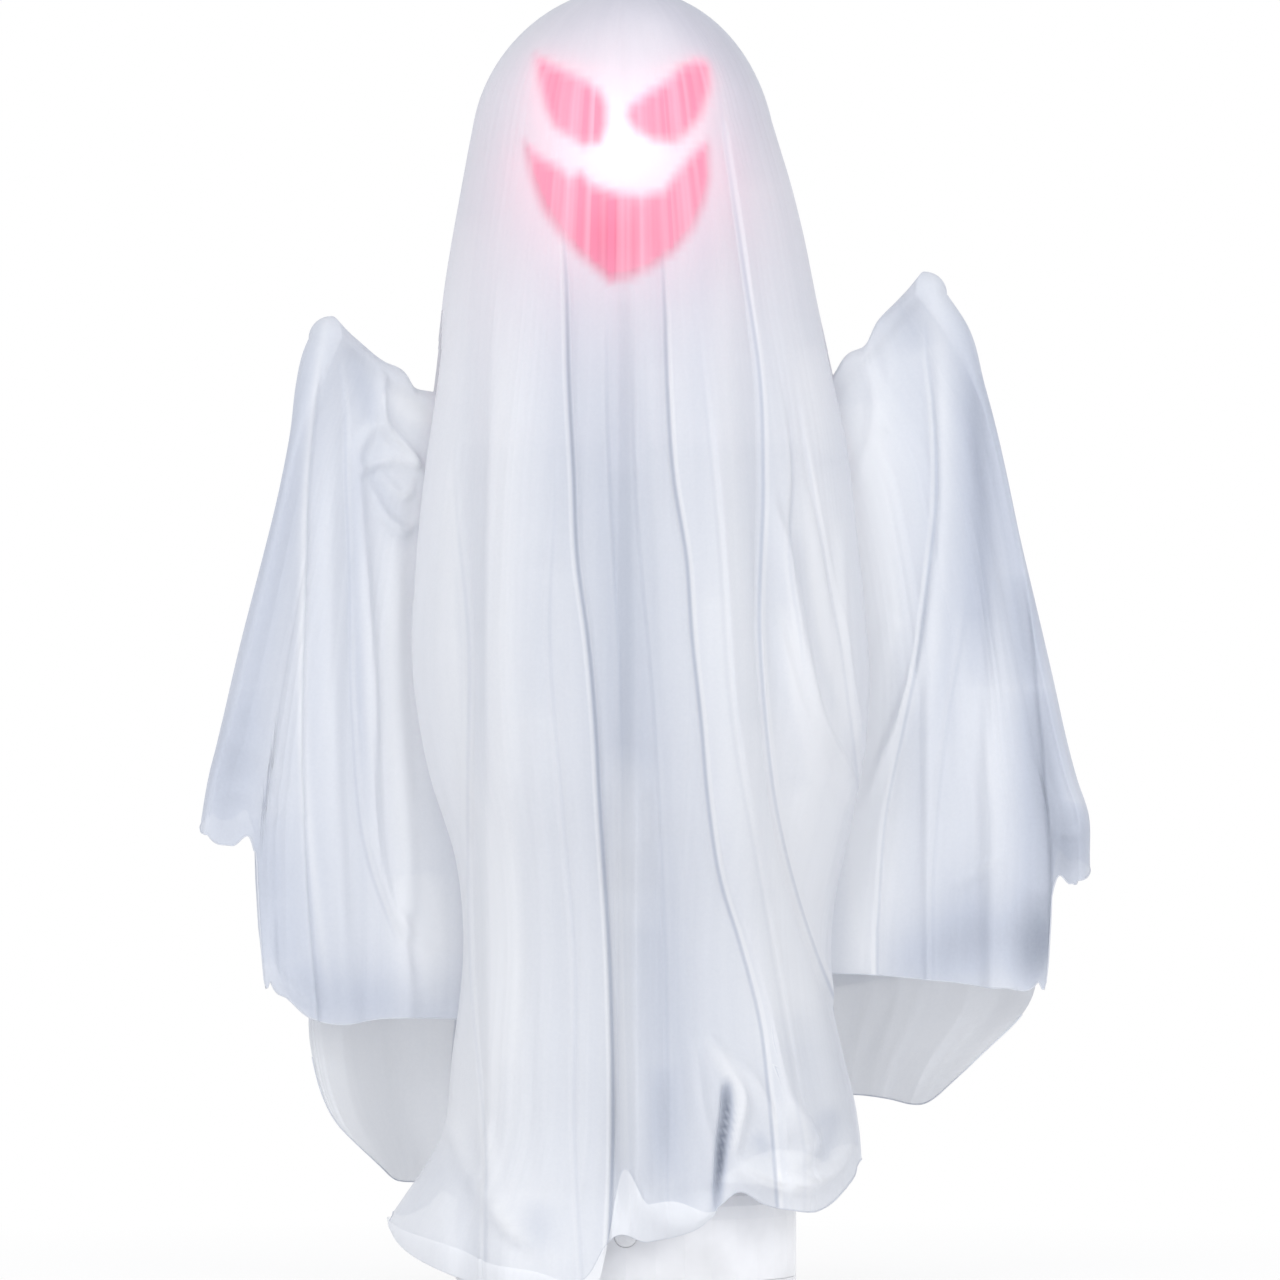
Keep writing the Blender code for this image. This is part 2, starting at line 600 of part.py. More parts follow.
# Controls, speaker, sensor and board
def build_controls():
    inside = BACK_Y - WALL - GAP
    slider = box(CONTROL_X - SWITCH_HALF, CONTROL_X + SWITCH_HALF, inside - FLANGE_THICK / 2,
                 BACK_Y + SWITCH_OUT, CONTROL_Z - SWITCH_TALL, CONTROL_Z + SWITCH_TALL)
    wide = SWITCH_HALF + SWITCH_TRAVEL
    tall = SWITCH_TALL + SWITCH_FLANGE
    flange = box(CONTROL_X - wide, CONTROL_X + wide, inside - FLANGE_THICK, inside,
                 CONTROL_Z - tall, CONTROL_Z + tall)
    slider.transform(Matrix.Translation((-SWITCH_TRAVEL / 2, 0, 0)))
    flange.transform(Matrix.Translation((-SWITCH_TRAVEL / 2, 0, 0)))
    finish_on_axis("power_switch_knob", fused(flange, slider),
                   (CONTROL_X - SWITCH_TRAVEL / 2, inside, CONTROL_Z), GREY_PLASTIC)
    cap = cylinder((-CONTROL_X, CONTROL_Z), BUTTON_RADIUS, inside - FLANGE_THICK / 2,
                   BACK_Y + BUTTON_OUT, "y")
    foot = cylinder((-CONTROL_X, CONTROL_Z), BUTTON_FLANGE, inside - FLANGE_THICK, inside, "y")
    finish_on_axis("test_button", fused(foot, cap), (-CONTROL_X, inside, CONTROL_Z), GREY_PLASTIC)


def build_speaker():
    top = HOUSING_TOP - WALL - GAP
    low = top - SPEAKER_DEEP
    profile = ((0, low), (MAGNET_RADIUS, low), (MAGNET_RADIUS, low + SPEAKER_RIM),
               (SPEAKER_RADIUS, top - SPEAKER_RIM), (SPEAKER_RADIUS, top),
               (SPEAKER_RADIUS - SPEAKER_RIM / 2, top),
               (MAGNET_RADIUS, top - SPEAKER_RIM), (0, top - SPEAKER_RIM))
    finish("speaker", lathe(profile, (SPEAKER_X, SPEAKER_Y), 24), GREY_PLASTIC)


def build_sensor():
    """The dome of the motion sensor, with a foot that rests against the wall from inside."""
    inner = BASE_RADIUS - WALL
    seat = sqrt(inner ** 2 - SENSOR_FLANGE ** 2) - SENSOR_SEAT
    steps = [pi / 2 * i / 4 for i in range(5)]
    dome = [(SENSOR_RADIUS * cos(a) if i < 4 else 0, BASE_RADIUS + SENSOR_BULGE * sin(a))
            for i, a in enumerate(steps)]
    profile = [(0, seat - SENSOR_TAIL), (SENSOR_FLANGE, seat - SENSOR_TAIL), (SENSOR_FLANGE, seat),
               (SENSOR_RADIUS, seat)] + dome
    window = lathe(profile, count=24)
    window.transform(Matrix.Rotation(pi / 2, 4, "X"))
    window.transform(Matrix.Translation((0, 0, CONTROL_Z)))
    finish("sensor_window", window, SENSOR_RED, 0.0, 0.2)


def build_board():
    low = FLOOR_Z + RIB_TALL + GAP
    top = low + BOARD_THICK
    board = box(BOARD_X - BOARD_HALF_X, BOARD_X + BOARD_HALF_X, BOARD_Y - BOARD_HALF_Y,
                BOARD_Y + BOARD_HALF_Y, low, top)
    chips = [box(x - CHIP_HALF, x + CHIP_HALF, y - CHIP_HALF, y + CHIP_HALF,
                 top - BOARD_THICK / 2, top + CHIP_TALL)
             for x, y in ((BOARD_X, BOARD_Y), (BOARD_X + CHIP_HALF / 2, BOARD_Y - 3 * CHIP_HALF))]
    finish("circuit_board", fused(board, *chips), BOARD_GREEN)


# Mast and lift gears
def square_tube(half, wall, low, high):
    inner = half - wall
    return cut(box(-half, half, -half, half, low, high),
               box(-inner, inner, -inner, inner, low - PAST, high + PAST))


def build_mast():
    finish("outer_mast_tube", square_tube(MAST_HALF, MAST_WALL, HOUSING_Z, MAST_TOP),
           STEEL, 1.0, 0.35)
    finish("inner_mast_tube", square_tube(TUBE_HALF, TUBE_WALL, TUBE_LOW, TUBE_TOP),
           STEEL, 1.0, 0.35)
    shoe = box(-SHOE_HALF, SHOE_HALF, -SHOE_HALF, SHOE_HALF, SHOE_LOW, SHOE_TOP)
    seat = TUBE_HALF + GAP
    pocket = box(-seat, seat, -seat, seat, TUBE_LOW - GAP, SHOE_TOP + PAST)
    finish("glide_shoe", cut(shoe, pocket), GEAR_WHITE)


def gear_outline(module, teeth, turn):
    """An involute gear, with a tooth centred on the turn angle."""
    pitch = module * teeth / 2
    base = pitch * cos(PRESSURE)
    root = pitch - ROOT_SHARE * module
    tip = pitch + TIP_SHARE * module
    thick = pi * module / 2 - BACKLASH

    def half_angle(radius):
        lean = acos(min(base / radius, 1))
        return thick / 2 / pitch + (tan(PRESSURE) - PRESSURE) - (tan(lean) - lean)

    start = max(base, root)
    radii = [start + (tip - start) * i / 2 for i in range(3)]
    flank = [(root, half_angle(start))] if root < base else []
    flank += [(radius, half_angle(radius)) for radius in radii]
    outline = []
    for i in range(teeth):
        middle = turn + 2 * pi * i / teeth
        outline += [(r, middle - a) for r, a in flank]
        outline += [(r, middle + a) for r, a in reversed(flank)]
    return [(r * cos(a), r * sin(a)) for r, a in outline]


def gear(module, teeth, turn, y, low, high):
    def place(a, b, height):
        return (height, y + a, GEAR_Z + b)
    return prism(gear_outline(module, teeth, turn), place, low, high)


def build_rack():
    """The toothed strip on the back of the inner tube, a gap of it level with the pinion."""
    pitch = pi * LIFT_MODULE
    half = pitch / 4 - BACKLASH / 2
    root = RACK_PITCH_Y - ROOT_SHARE * LIFT_MODULE
    tip = RACK_PITCH_Y + TIP_SHARE * LIFT_MODULE
    lean = tan(PRESSURE)
    first = ceil((RACK_LOW - GEAR_Z) / pitch)
    outline = [(RACK_BACK, RACK_LOW)]
    centre = GEAR_Z + (first + 0.5) * pitch
    outline.append((root, RACK_LOW))
    while centre < RACK_HIGH - pitch / 2:
        wide = half + lean * ROOT_SHARE * LIFT_MODULE
        thin = half - lean * TIP_SHARE * LIFT_MODULE
        outline += [(root, centre - wide), (tip, centre - thin), (tip, centre + thin),
                    (root, centre + wide)]
        centre += pitch
    outline += [(root, RACK_HIGH), (RACK_BACK, RACK_HIGH)]
    rack = prism(outline, lambda a, b, h: (h, a, b), -RACK_HALF, RACK_HALF)
    finish("lift_rack", rack, GEAR_WHITE)


def build_gears():
    axis = (0, GEAR_Y, GEAR_Z)
    teeth = gear(LIFT_MODULE, LIFT_TEETH, pi, GEAR_Y, -PINION_HALF, PINION_HALF)
    shaft = cylinder((GEAR_Y, GEAR_Z), SHAFT_RADIUS, SHAFT_LEFT, SHAFT_RIGHT, "x", 16)
    finish_on_axis("lift_pinion", fused(teeth, shaft), axis, GEAR_WHITE)
    wheel = gear(DRIVE_MODULE, WHEEL_TEETH, 0, GEAR_Y, WHEEL_LEFT, WHEEL_RIGHT)
    bore = cylinder((GEAR_Y, GEAR_Z), SHAFT_RADIUS + GAP, WHEEL_LEFT - PAST, WHEEL_RIGHT + PAST,
                    "x", 16)
    finish_on_axis("reduction_wheel", cut(wheel, bore), axis, GEAR_WHITE)
    small = gear(DRIVE_MODULE, PINION_TEETH, pi + pi / PINION_TEETH, MOTOR_Y,
                 WHEEL_LEFT, WHEEL_RIGHT)
    spindle = cylinder((MOTOR_Y, GEAR_Z), MOTOR_SHAFT, WHEEL_LEFT, MOTOR_SHAFT_END, "x", 12)
    finish_on_axis("motor_pinion", fused(small, spindle), (0, MOTOR_Y, GEAR_Z), BRASS, 1.0, 0.3)


def build_motor():
    face = CHEEK_RIGHT + CHEEK_THICK + GAP
    can = cylinder((MOTOR_Y, GEAR_Z), MOTOR_RADIUS, face, face + MOTOR_LONG, "x", 24)
    bearing = cylinder((MOTOR_Y, GEAR_Z), MOTOR_SHAFT + GAP, face - PAST,
                       MOTOR_SHAFT_END + GAP, "x", 12)
    finish("drive_motor", cut(can, bearing), STEEL, 1.0, 0.35)


def build_gear_bracket():
    outer = MAST_HALF + GAP + SLEEVE_WALL
    seat = MAST_HALF + GAP
    right = CHEEK_RIGHT + CHEEK_THICK
    left = CHEEK_LEFT - CHEEK_THICK
    block = fused(box(-outer, outer, -outer, outer, SLEEVE_LOW, FLANGE_TOP),
                  box(left, right, 0, CHEEK_BACK, MAST_TOP + GAP, FLANGE_TOP))
    cheeks = [box(x, x + CHEEK_THICK, CHEEK_FRONT, CHEEK_BACK, MAST_TOP + WALL, CHEEK_TOP)
              for x in (left, CHEEK_RIGHT)]
    block = fused(block, *cheeks)
    guide = TUBE_HALF + GAP
    slot = RACK_HALF + 2 * GAP
    tip = RACK_PITCH_Y + TIP_SHARE * LIFT_MODULE + GAP
    cuts = [box(-seat, seat, -seat, seat, SLEEVE_LOW - PAST, MAST_TOP + GAP),
            box(-guide, guide, -guide, guide, MAST_TOP - PAST, FLANGE_TOP + PAST),
            box(-slot, slot, 0, tip, MAST_TOP - PAST, FLANGE_TOP + PAST),
            cylinder((GEAR_Y, GEAR_Z), SHAFT_RADIUS + GAP, left - PAST, right + PAST, "x", 16),
            cylinder((MOTOR_Y, GEAR_Z), MOTOR_HOLE, CHEEK_RIGHT - PAST, right + PAST, "x", 16)]
    for x in (-COVER_SCREW_X, COVER_SCREW_X):
        cuts.append(cylinder((x, (MAST_TOP + FLANGE_TOP) / 2), SCREW_RADIUS + GAP,
                             CHEEK_BACK - COVER_SCREW_LONG, CHEEK_BACK + PAST, "y", 12))
    finish("gear_bracket", cut(block, *cuts), GREY_PLASTIC)


def build_gear_cover():
    left = CHEEK_LEFT - CHEEK_THICK
    right = CHEEK_RIGHT + CHEEK_THICK
    y = CHEEK_BACK + GAP
    top = CHEEK_TOP + GAP
    back = box(left, right, y, y + COVER_WALL, MAST_TOP + GAP, top + COVER_WALL)
    roof = box(left, right, COVER_FRONT, y + COVER_WALL / 2, top, top + COVER_WALL)
    cover = fused(back, roof)
    level = (MAST_TOP + FLANGE_TOP) / 2
    holes = [cylinder((x, level), SCREW_RADIUS + GAP, y - PAST, y + COVER_WALL + PAST, "y", 12)
             for x in (-COVER_SCREW_X, COVER_SCREW_X)]
    finish("gear_cover", cut(cover, *holes), GREY_PLASTIC)
    face = y + COVER_WALL + GAP
    for i, x in enumerate((-COVER_SCREW_X, COVER_SCREW_X), 1):
        head = cylinder((x, level), SMALL_HEAD, face, face + 2 * SCREW_HEAD_THICK, "y", 16)
        shank = cylinder((x, level), SCREW_RADIUS, CHEEK_BACK - COVER_SCREW_LONG + GAP,
                         face + SCREW_HEAD_THICK, "y", 12)
        finish(f"cover_screw_{i}", fused(head, shank), STEEL, 1.0, 0.3)


# Shoulder bar, arms and hands
def build_shoulder_bar():
    hub = box(-HUB_HALF, HUB_HALF, -HUB_HALF, HUB_HALF, HUB_LOW, HUB_TOP)
    bar = box(-FORK_END, FORK_END, -BAR_HALF_Y, BAR_HALF_Y,
              SHOULDER_Z - BAR_HALF_Z, SHOULDER_Z + BAR_HALF_Z)
    seat = TUBE_HALF + GAP
    cuts = [box(-seat, seat, -seat, seat, HUB_LOW - PAST, TUBE_TOP + GAP)]
    slot = TONGUE_HALF + GAP
    for way in (-1, 1):
        ends = sorted((way * FORK_BASE, way * (FORK_END + PAST)))
        cuts.append(box(*ends, -slot, slot, SHOULDER_Z - 2 * BAR_HALF_Z,
                        SHOULDER_Z + 2 * BAR_HALF_Z))
        cuts.append(cylinder((way * SHOULDER_X, SHOULDER_Z), PIVOT_RADIUS + GAP,
                             -2 * BAR_HALF_Y, 2 * BAR_HALF_Y, "y", 12))
    finish("shoulder_bar", cut(fused(hub, bar), *cuts), WHITE_PLASTIC)


def arm_route(hand):
    """From the shoulder pivot straight out, then bent forward to the hand."""
    pivot = Vector(((1 if hand.x > 0 else -1) * SHOULDER_X, 0, SHOULDER_Z))
    out = Vector((hand.x - pivot.x, 0, hand.z - pivot.z)).normalized()
    return pivot, pivot + out * ARM_STRAIGHT


def build_arm(side, hand):
    pivot, bend = arm_route(hand)
    start = pivot + (bend - pivot).normalized() * PIVOT_RADIUS * 2.5
    reach = hand - bend
    tip = hand - reach.normalized() * GAP
    rod = sweep([start, bend, tip], ARM_RADIUS, 12)
    eye = cylinder((pivot.x, pivot.z), TONGUE_RADIUS, -TONGUE_HALF, TONGUE_HALF, "y", 24)
    bore = cylinder((pivot.x, pivot.z), PIVOT_RADIUS + GAP, -2 * TONGUE_HALF, 2 * TONGUE_HALF,
                    "y", 12)
    finish_on_axis(f"{side}_arm_rod", cut(fused(eye, rod), bore), pivot, STEEL, 1.0, 0.35)
    pocket = sweep([hand - reach.normalized() * 2 * HAND_RADIUS, hand], ARM_RADIUS + GAP, 12)
    finish_on_axis(f"{side}_hand_knob", cut(ball(hand, HAND_RADIUS), pocket), pivot,
                   WHITE_PLASTIC)
    long = BAR_HALF_Y + GAP
    shank = cylinder((pivot.x, pivot.z), PIVOT_RADIUS, -long, long + PIVOT_HEAD_THICK / 2,
                     "y", 12)
    head = cylinder((pivot.x, pivot.z), PIVOT_HEAD, long, long + PIVOT_HEAD_THICK, "y", 16)
    finish(f"{side}_arm_pivot_pin", fused(head, shank), STEEL, 1.0, 0.3)


# Neck and head
def build_neck():
    low = HUB_TOP + GAP
    foot = cylinder((0, 0), NECK_FOOT, low, low + NECK_FOOT_THICK)
    plate_low = HEAD_LOW + HEAD_FLOOR + GAP
    post = cylinder((0, 0), NECK_RADIUS, low, plate_low + NECK_PLATE_THICK / 2)
    plate = cylinder((0, 0), NECK_PLATE, plate_low, plate_low + NECK_PLATE_THICK, count=24)
    blade = box(-LAMP_POST_HALF, LAMP_POST_HALF, -LAMP_POST_HALF, 0,
                plate_low + NECK_PLATE_THICK / 2, LAMP_POST_TOP)
    holes = [cylinder((0, y), SCREW_RADIUS + GAP, plate_low - PAST,
                      plate_low + NECK_PLATE_THICK + PAST, "z", 12)
             for y in (-HEAD_SCREW_AT, HEAD_SCREW_AT)]
    finish("neck_post", cut(fused(foot, post, plate, blade), *holes), WHITE_PLASTIC)
    for i, y in enumerate((-HEAD_SCREW_AT, HEAD_SCREW_AT), 1):
        top = HEAD_LOW - GAP
        head = cylinder((0, y), SMALL_HEAD, top - 2 * SCREW_HEAD_THICK, top, "z", 16)
        shank = cylinder((0, y), SCREW_RADIUS, top - SCREW_HEAD_THICK,
                         plate_low + NECK_PLATE_THICK, "z", 12)
        finish(f"head_screw_{i}", fused(head, shank), STEEL, 1.0, 0.3)


def head_profile(inset, floor):
    """Egg-shaped: a round crown that narrows to the chin."""
    crown = [pi / 2 * (1 - i / 7) for i in range(8)]
    radius = HEAD_RADIUS - inset
    curve = [(radius * cos(a) if i else 0, HEAD_CENTRE + radius * sin(a))
             for i, a in enumerate(crown)]
    low = HEAD_LOW + floor
    steps = 5
    for i in range(1, steps + 1):
        share = i / steps
        height = HEAD_CENTRE + (low - HEAD_CENTRE) * share
        narrow = (HEAD_RADIUS - HEAD_LOW_RADIUS) * share ** 1.8
        curve.append((radius - narrow, height))
    return curve + [(0, low)]


def facing(outline, inset=0.0):
    """A prism through the face, of an outline in (x, z) drawn in by inset."""
    turned = sum(x0 * z1 - x1 * z0
                 for (x0, z0), (x1, z1) in zip(outline, outline[1:] + outline[:1]))
    way = 1 if turned > 0 else -1
    count = len(outline)
    drawn = []
    for i, (x, z) in enumerate(outline):
        before, after = outline[i - 1], outline[(i + 1) % count]
        first = Vector((x - before[0], z - before[1])).normalized()
        second = Vector((after[0] - x, after[1] - z)).normalized()
        normal = Vector((-(first.y + second.y), first.x + second.x)).normalized() * way
        drawn.append((x + normal.x * inset, z + normal.y * inset))
    return prism(drawn, lambda a, b, h: (a, h, b), -2 * HEAD_RADIUS, -HEAD_WALL)


def build_head():
    reach = 2 * HEAD_RADIUS
    whole = cut(lathe(head_profile(0, 0)), lathe(head_profile(HEAD_WALL, HEAD_FLOOR)))
    neck = cylinder((0, 0), NECK_RADIUS + GAP, HEAD_LOW - PAST, HEAD_LOW + HEAD_FLOOR + PAST)
    screws = [cylinder((0, y), SCREW_RADIUS + GAP, HEAD_LOW - PAST, HEAD_LOW + HEAD_FLOOR + PAST,
                       "z", 12) for y in (-HEAD_SCREW_AT, HEAD_SCREW_AT)]
    whole = cut(whole, neck, *screws)
    top = HEAD_CENTRE + reach
    back = shared(whole.copy(), box(-reach, reach, GAP / 2, reach, 0, top))
    front = shared(whole.copy(), box(-reach, reach, -reach, -GAP / 2, 0, top))
    for name, outline in (("left_eye_lens", LEFT_EYE), ("right_eye_lens", RIGHT_EYE),
                          ("mouth_lens", MOUTH)):
        lens = shared(front.copy(), facing(outline, GAP))
        finish(name, lens, RED_LENS, 0.0, 0.25)
    front = cut(front, facing(LEFT_EYE), facing(RIGHT_EYE), facing(MOUTH))
    finish("head_shell_back", back, WHITE_PLASTIC)
    finish("head_shell_front", front, WHITE_PLASTIC)


def build_lamps():
    face = -LAMP_POST_HALF - GAP
    board = box(-LAMP_BOARD_HALF, LAMP_BOARD_HALF, face - BOARD_THICK, face,
                LAMP_BOARD_LOW, LAMP_BOARD_TOP)
    finish("lamp_board", board, BOARD_GREEN)
    seat = face - BOARD_THICK - GAP
    for i, (x, z) in enumerate(LAMP_PLACES, 1):
        steps = [pi / 2 * k / 4 for k in range(5)]
        profile = [(0, 0), (LAMP_RADIUS, 0)]
        profile += [(LAMP_RADIUS * cos(a) if k < 4 else 0, LAMP_LONG + LAMP_RADIUS * sin(a))
                    for k, a in enumerate(steps)]
        lamp = lathe(profile, count=12)
        lamp.transform(Matrix.Rotation(pi / 2, 4, "X"))
        lamp.transform(Matrix.Translation((x, seat, z)))
        finish(f"lamp_{i}", lamp, LAMP_CLEAR, 0.0, 0.2)


# Cloth
def sheet(name, grid, gone=(), wrap=False):
    """A closed cloth of the named thickness from rows of points. gone holds missing cells."""
    points, index = [], {}
    for i, row in enumerate(grid):
        for j, point in enumerate(row):
            key = tuple(round(c, 6) for c in point)
            index[i, j] = index.setdefault(key, len(points))
            if index[key] == len(points):
                points.append(point)
    columns = len(grid[0])
    faces = []
    for i in range(len(grid) - 1):
        for j in range(columns if wrap else columns - 1):
            k = (j + 1) % columns
            if (i, j) not in gone:
                corners = dict.fromkeys((index[i, j], index[i, k], index[i + 1, k],
                                         index[i + 1, j]))
                if len(corners) > 2:
                    faces.append(tuple(corners))
    cloth = finish(name, mesh_of_sheet(points, faces), WHITE_CLOTH, 0.0, 0.8)
    thick = cloth.modifiers.new("thickness", "SOLIDIFY")
    thick.thickness = CLOTH_THICK
    thick.offset = 0
    return cloth


def mesh_of_sheet(points, faces):
    """An open surface, with the loose corners left out."""
    mesh = mesh_of(points, faces)
    shape = bmesh.new()
    shape.from_mesh(mesh)
    bmesh.ops.delete(shape, geom=[v for v in shape.verts if not v.link_faces], context="VERTS")
    shape.to_mesh(mesh)
    shape.free()
    return mesh


def smooth(value, start, end):
    """0 at the start and 1 at the end, with a smooth step between them."""
    share = min(max((value - start) / (end - start), 0), 1)
    return share * share * (3 - 2 * share)


def shroud_fold(turn, height, half):
    """How far the folds move the shroud outwards: long lines in front, round pleats behind."""
    front = smooth(cos(turn), 0, FRONT_SHARE)
    fold = BACK_FOLD * cos(BACK_FOLD_COUNT * turn) * (1 - front)
    for line, out, wide in FRONT_FOLDS:
        off = (half * sin(turn) - along(line, height)) / wide
        fold += front * out * exp(-off * off)
    return fold * smooth(height, FOLD_FROM, FOLD_FULL)


def shroud_point(turn, height, off=0.0):
    """A point of the shroud. turn is the angle from the front, positive to the right."""
    half = along(SHROUD_RIGHT if sin(turn) > 0 else SHROUD_LEFT, height)
    deep = along(tuple(zip(DEPTH_LEVELS, DEPTH_SHARES)), height)
    swell = shroud_fold(turn, height, half) + off
    x = (half + swell) * sin(turn)
    y = -(half * deep + swell) * cos(turn)
    return Vector((x, y, height))


def hem_height(turn):
    """The ragged lower edge: high in the middle of the front, low beside it."""
    middle = max(0, 1 - abs(turn) / HEM_MIDDLE)
    waves = (1 - cos(5 * turn)) * (1 + sin(turn))
    return HEM_LOW + HEM_RISE * (HEM_SHARES[0] * middle + HEM_SHARES[1] * waves)


def shroud_turns():
    """The turn of each column, from the left side round the front and then round the back."""
    front = [pi * j / FRONT_COLUMNS - pi / 2 for j in range(FRONT_COLUMNS)]
    return front + [pi * j / BACK_COLUMNS + pi / 2 for j in range(BACK_COLUMNS)]


def build_shroud():
    turns = shroud_turns()
    grid = [[Vector((0, 0, HEAD_CENTRE + DOME_RADIUS))] * len(turns)]
    for i in range(1, DOME_ROWS + 1):
        lean = pi / 2 * i / (DOME_ROWS + 1)
        height = HEAD_CENTRE + DOME_RADIUS * cos(lean)
        radius = DOME_RADIUS * sin(lean)
        grid.append([Vector((radius * sin(t), -radius * cos(t), height)) for t in turns])
    grid.append([shroud_point(t, HEAD_CENTRE) for t in turns])
    first = len(grid)
    for height in SHROUD_LEVELS:
        grid.append([shroud_point(t, height) for t in turns])
    grid.append([shroud_point(t, hem_height(wrapped(t))) for t in turns])
    slit = first + sum(1 for height in SHROUD_LEVELS if height >= SLIT_TOP) - 1
    gone = {(i, j % len(turns)) for i in range(slit, len(grid))
            for side in (0, FRONT_COLUMNS) for j in range(side - SLIT_COLUMNS, side + SLIT_COLUMNS)}
    sheet("head_shroud", grid, gone, wrap=True)


def wrapped(turn):
    return atan2(sin(turn), cos(turn))


def build_cape():
    """The wide layers behind, from one side of the figure round its back to the other."""
    ends = shroud_turns()[FRONT_COLUMNS + SLIT_COLUMNS], shroud_turns()[-SLIT_COLUMNS]
    columns = CAPE_SPLIT * (BACK_COLUMNS - 2 * SLIT_COLUMNS)
    turns = [ends[0] + (ends[1] - ends[0]) * j / columns for j in range(columns + 1)]
    grid = [[cape_point(turn, height) for turn in turns] for height in CAPE_LEVELS]
    hem = tuple(zip(CAPE_HEM_AT_SHARES, CAPE_HEM))
    grid.append([cape_point(turn, between(hem, sin(turn))) for turn in turns])
    sheet("back_cape", grid)


def cape_point(turn, height):
    """The cape leaves the shroud at the shoulders, spreads to the sides and folds as it falls."""
    side = sin(turn)
    drop = min((CAPE_TOP - height) / (CAPE_TOP - CAPE_FULL), 1)
    swing = min(max((CAPE_FORWARD_FROM - height) / (CAPE_FORWARD_FROM - CAPE_FULL), 0), 1)
    point = shroud_point(turn, height, CAPE_OFF)
    reach = along(CAPE_RIGHT if side > 0 else CAPE_LEFT, height)
    edge = smooth(abs(side), *CAPE_EDGE_SHARES)
    point.x += (reach * (1 if side > 0 else -1) - point.x) * edge * drop
    point.y += (CAPE_OUT + CAPE_FLARE_BACK * (1 - edge)) * drop
    point.y += CAPE_FOLD * sin(CAPE_FOLD_COUNT * turn) * drop * (1 - edge / 2)
    point.y -= CAPE_FORWARD * swing * edge
    return point


def build_drape(side, plan):
    """The sheet over one arm: a front and a back flap that hang from the ridge of the arm."""
    hand = Vector(plan["hand"])
    bend = arm_route(hand)[1]
    shoulder = bend.lerp(hand, DRAPE_START)
    reach = hand - bend
    across = Vector((reach.y, -reach.x, 0)).normalized()
    across *= 1 if across.y > 0 else -1
    grid = []
    for j in range(-DRAPE_ROWS, DRAPE_ROWS + 1):
        row = []
        for i in range(DRAPE_COLUMNS + 1):
            share = i / DRAPE_COLUMNS
            ridge = shoulder.lerp(hand, share) + reach.normalized() * plan["past"] * share
            row.append(drape_point(plan, ridge, across, share, j / DRAPE_ROWS))
        grid.append(row)
    sheet(f"{side}_arm_drape", grid)


def drape_point(plan, ridge, across, share, drop):
    """drop runs from -1 at the front hem over 0 at the ridge to 1 at the back hem."""
    fall = abs(drop)
    way = 1 if drop > 0 else -1
    hem = plan["hem_in"] + (plan["hem_out"] - plan["hem_in"]) * share
    foot = plan["foot_in"] + (plan["foot_out"] - plan["foot_in"]) * share
    off = DRAPE_AT_ARM + (DRAPE_AT_HAND - DRAPE_AT_ARM) * share
    top = ridge.z + off
    hang = max(fall - 1 / DRAPE_ROWS, 0) / (1 - 1 / DRAPE_ROWS)
    height = top + (hem - top) * hang - off * DRAPE_SLOPE_SHARE * min(fall * DRAPE_ROWS, 1) * (1 - hang)
    spread = off * min(fall * DRAPE_ROWS, 1) + DRAPE_SPREAD * hang
    wave = DRAPE_FOLD * sin(share * 15 + 0.8) * hang
    side = ridge + across * way * spread
    bulge = DRAPE_BULGE * sin(pi * hang) * (1 - share) * (1 if foot > 0 else -1)
    x = side.x + (foot - side.x) * hang + bulge
    return Vector((x, side.y + wave, height))


def build():
    finish("nonslip_pad", cylinder((0, 0), PAD_RADIUS, 0, PAD_THICK, count=40), RUBBER)
    build_plate()
    build_housing()
    build_base_screws()
    build_batteries()
    build_door()
    build_controls()
    build_speaker()
    build_sensor()
    build_board()
    build_mast()
    build_rack()
    build_gears()
    build_motor()
    build_gear_bracket()
    build_gear_cover()
    build_shoulder_bar()
    build_arm("left", Vector(LEFT_HAND))
    build_arm("right", Vector(RIGHT_HAND))
    build_neck()
    build_head()
    build_lamps()
    build_shroud()
    build_cape()
    build_drape("left", LEFT_DRAPE)
    build_drape("right", RIGHT_DRAPE)


build()
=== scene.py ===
# %% [markdown]
# # Animated ghost figure
# A cloth ghost with a lit grin stands over a round battery base. A telescopic mast lifts it, and
# two hinged rods raise its arms. Nearly all that shows is sheer white cloth, so this lesson is
# about draping: each cloth is a surface written as a formula of where it hangs from and where
# its hem ends, with the pleats laid on as functions. A formula was chosen over one long cloth
# simulation because the pleats of the real one run unbroken from head to hem, in known places.

# %% Set-up: the working parts come from model.glb at their true size
from math import pi, radians

import bmesh
import bpy
import numpy as np
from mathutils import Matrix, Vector


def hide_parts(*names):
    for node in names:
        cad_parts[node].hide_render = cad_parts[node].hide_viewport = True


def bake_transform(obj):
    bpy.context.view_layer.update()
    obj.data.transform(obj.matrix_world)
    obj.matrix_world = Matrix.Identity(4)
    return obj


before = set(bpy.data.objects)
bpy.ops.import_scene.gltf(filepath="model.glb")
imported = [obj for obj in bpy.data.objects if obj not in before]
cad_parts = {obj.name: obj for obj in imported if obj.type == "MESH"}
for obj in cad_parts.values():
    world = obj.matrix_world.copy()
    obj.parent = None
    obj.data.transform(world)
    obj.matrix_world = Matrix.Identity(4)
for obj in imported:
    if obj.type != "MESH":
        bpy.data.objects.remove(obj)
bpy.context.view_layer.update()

scene = bpy.context.scene
TAU = 2 * pi
MM = 0.001

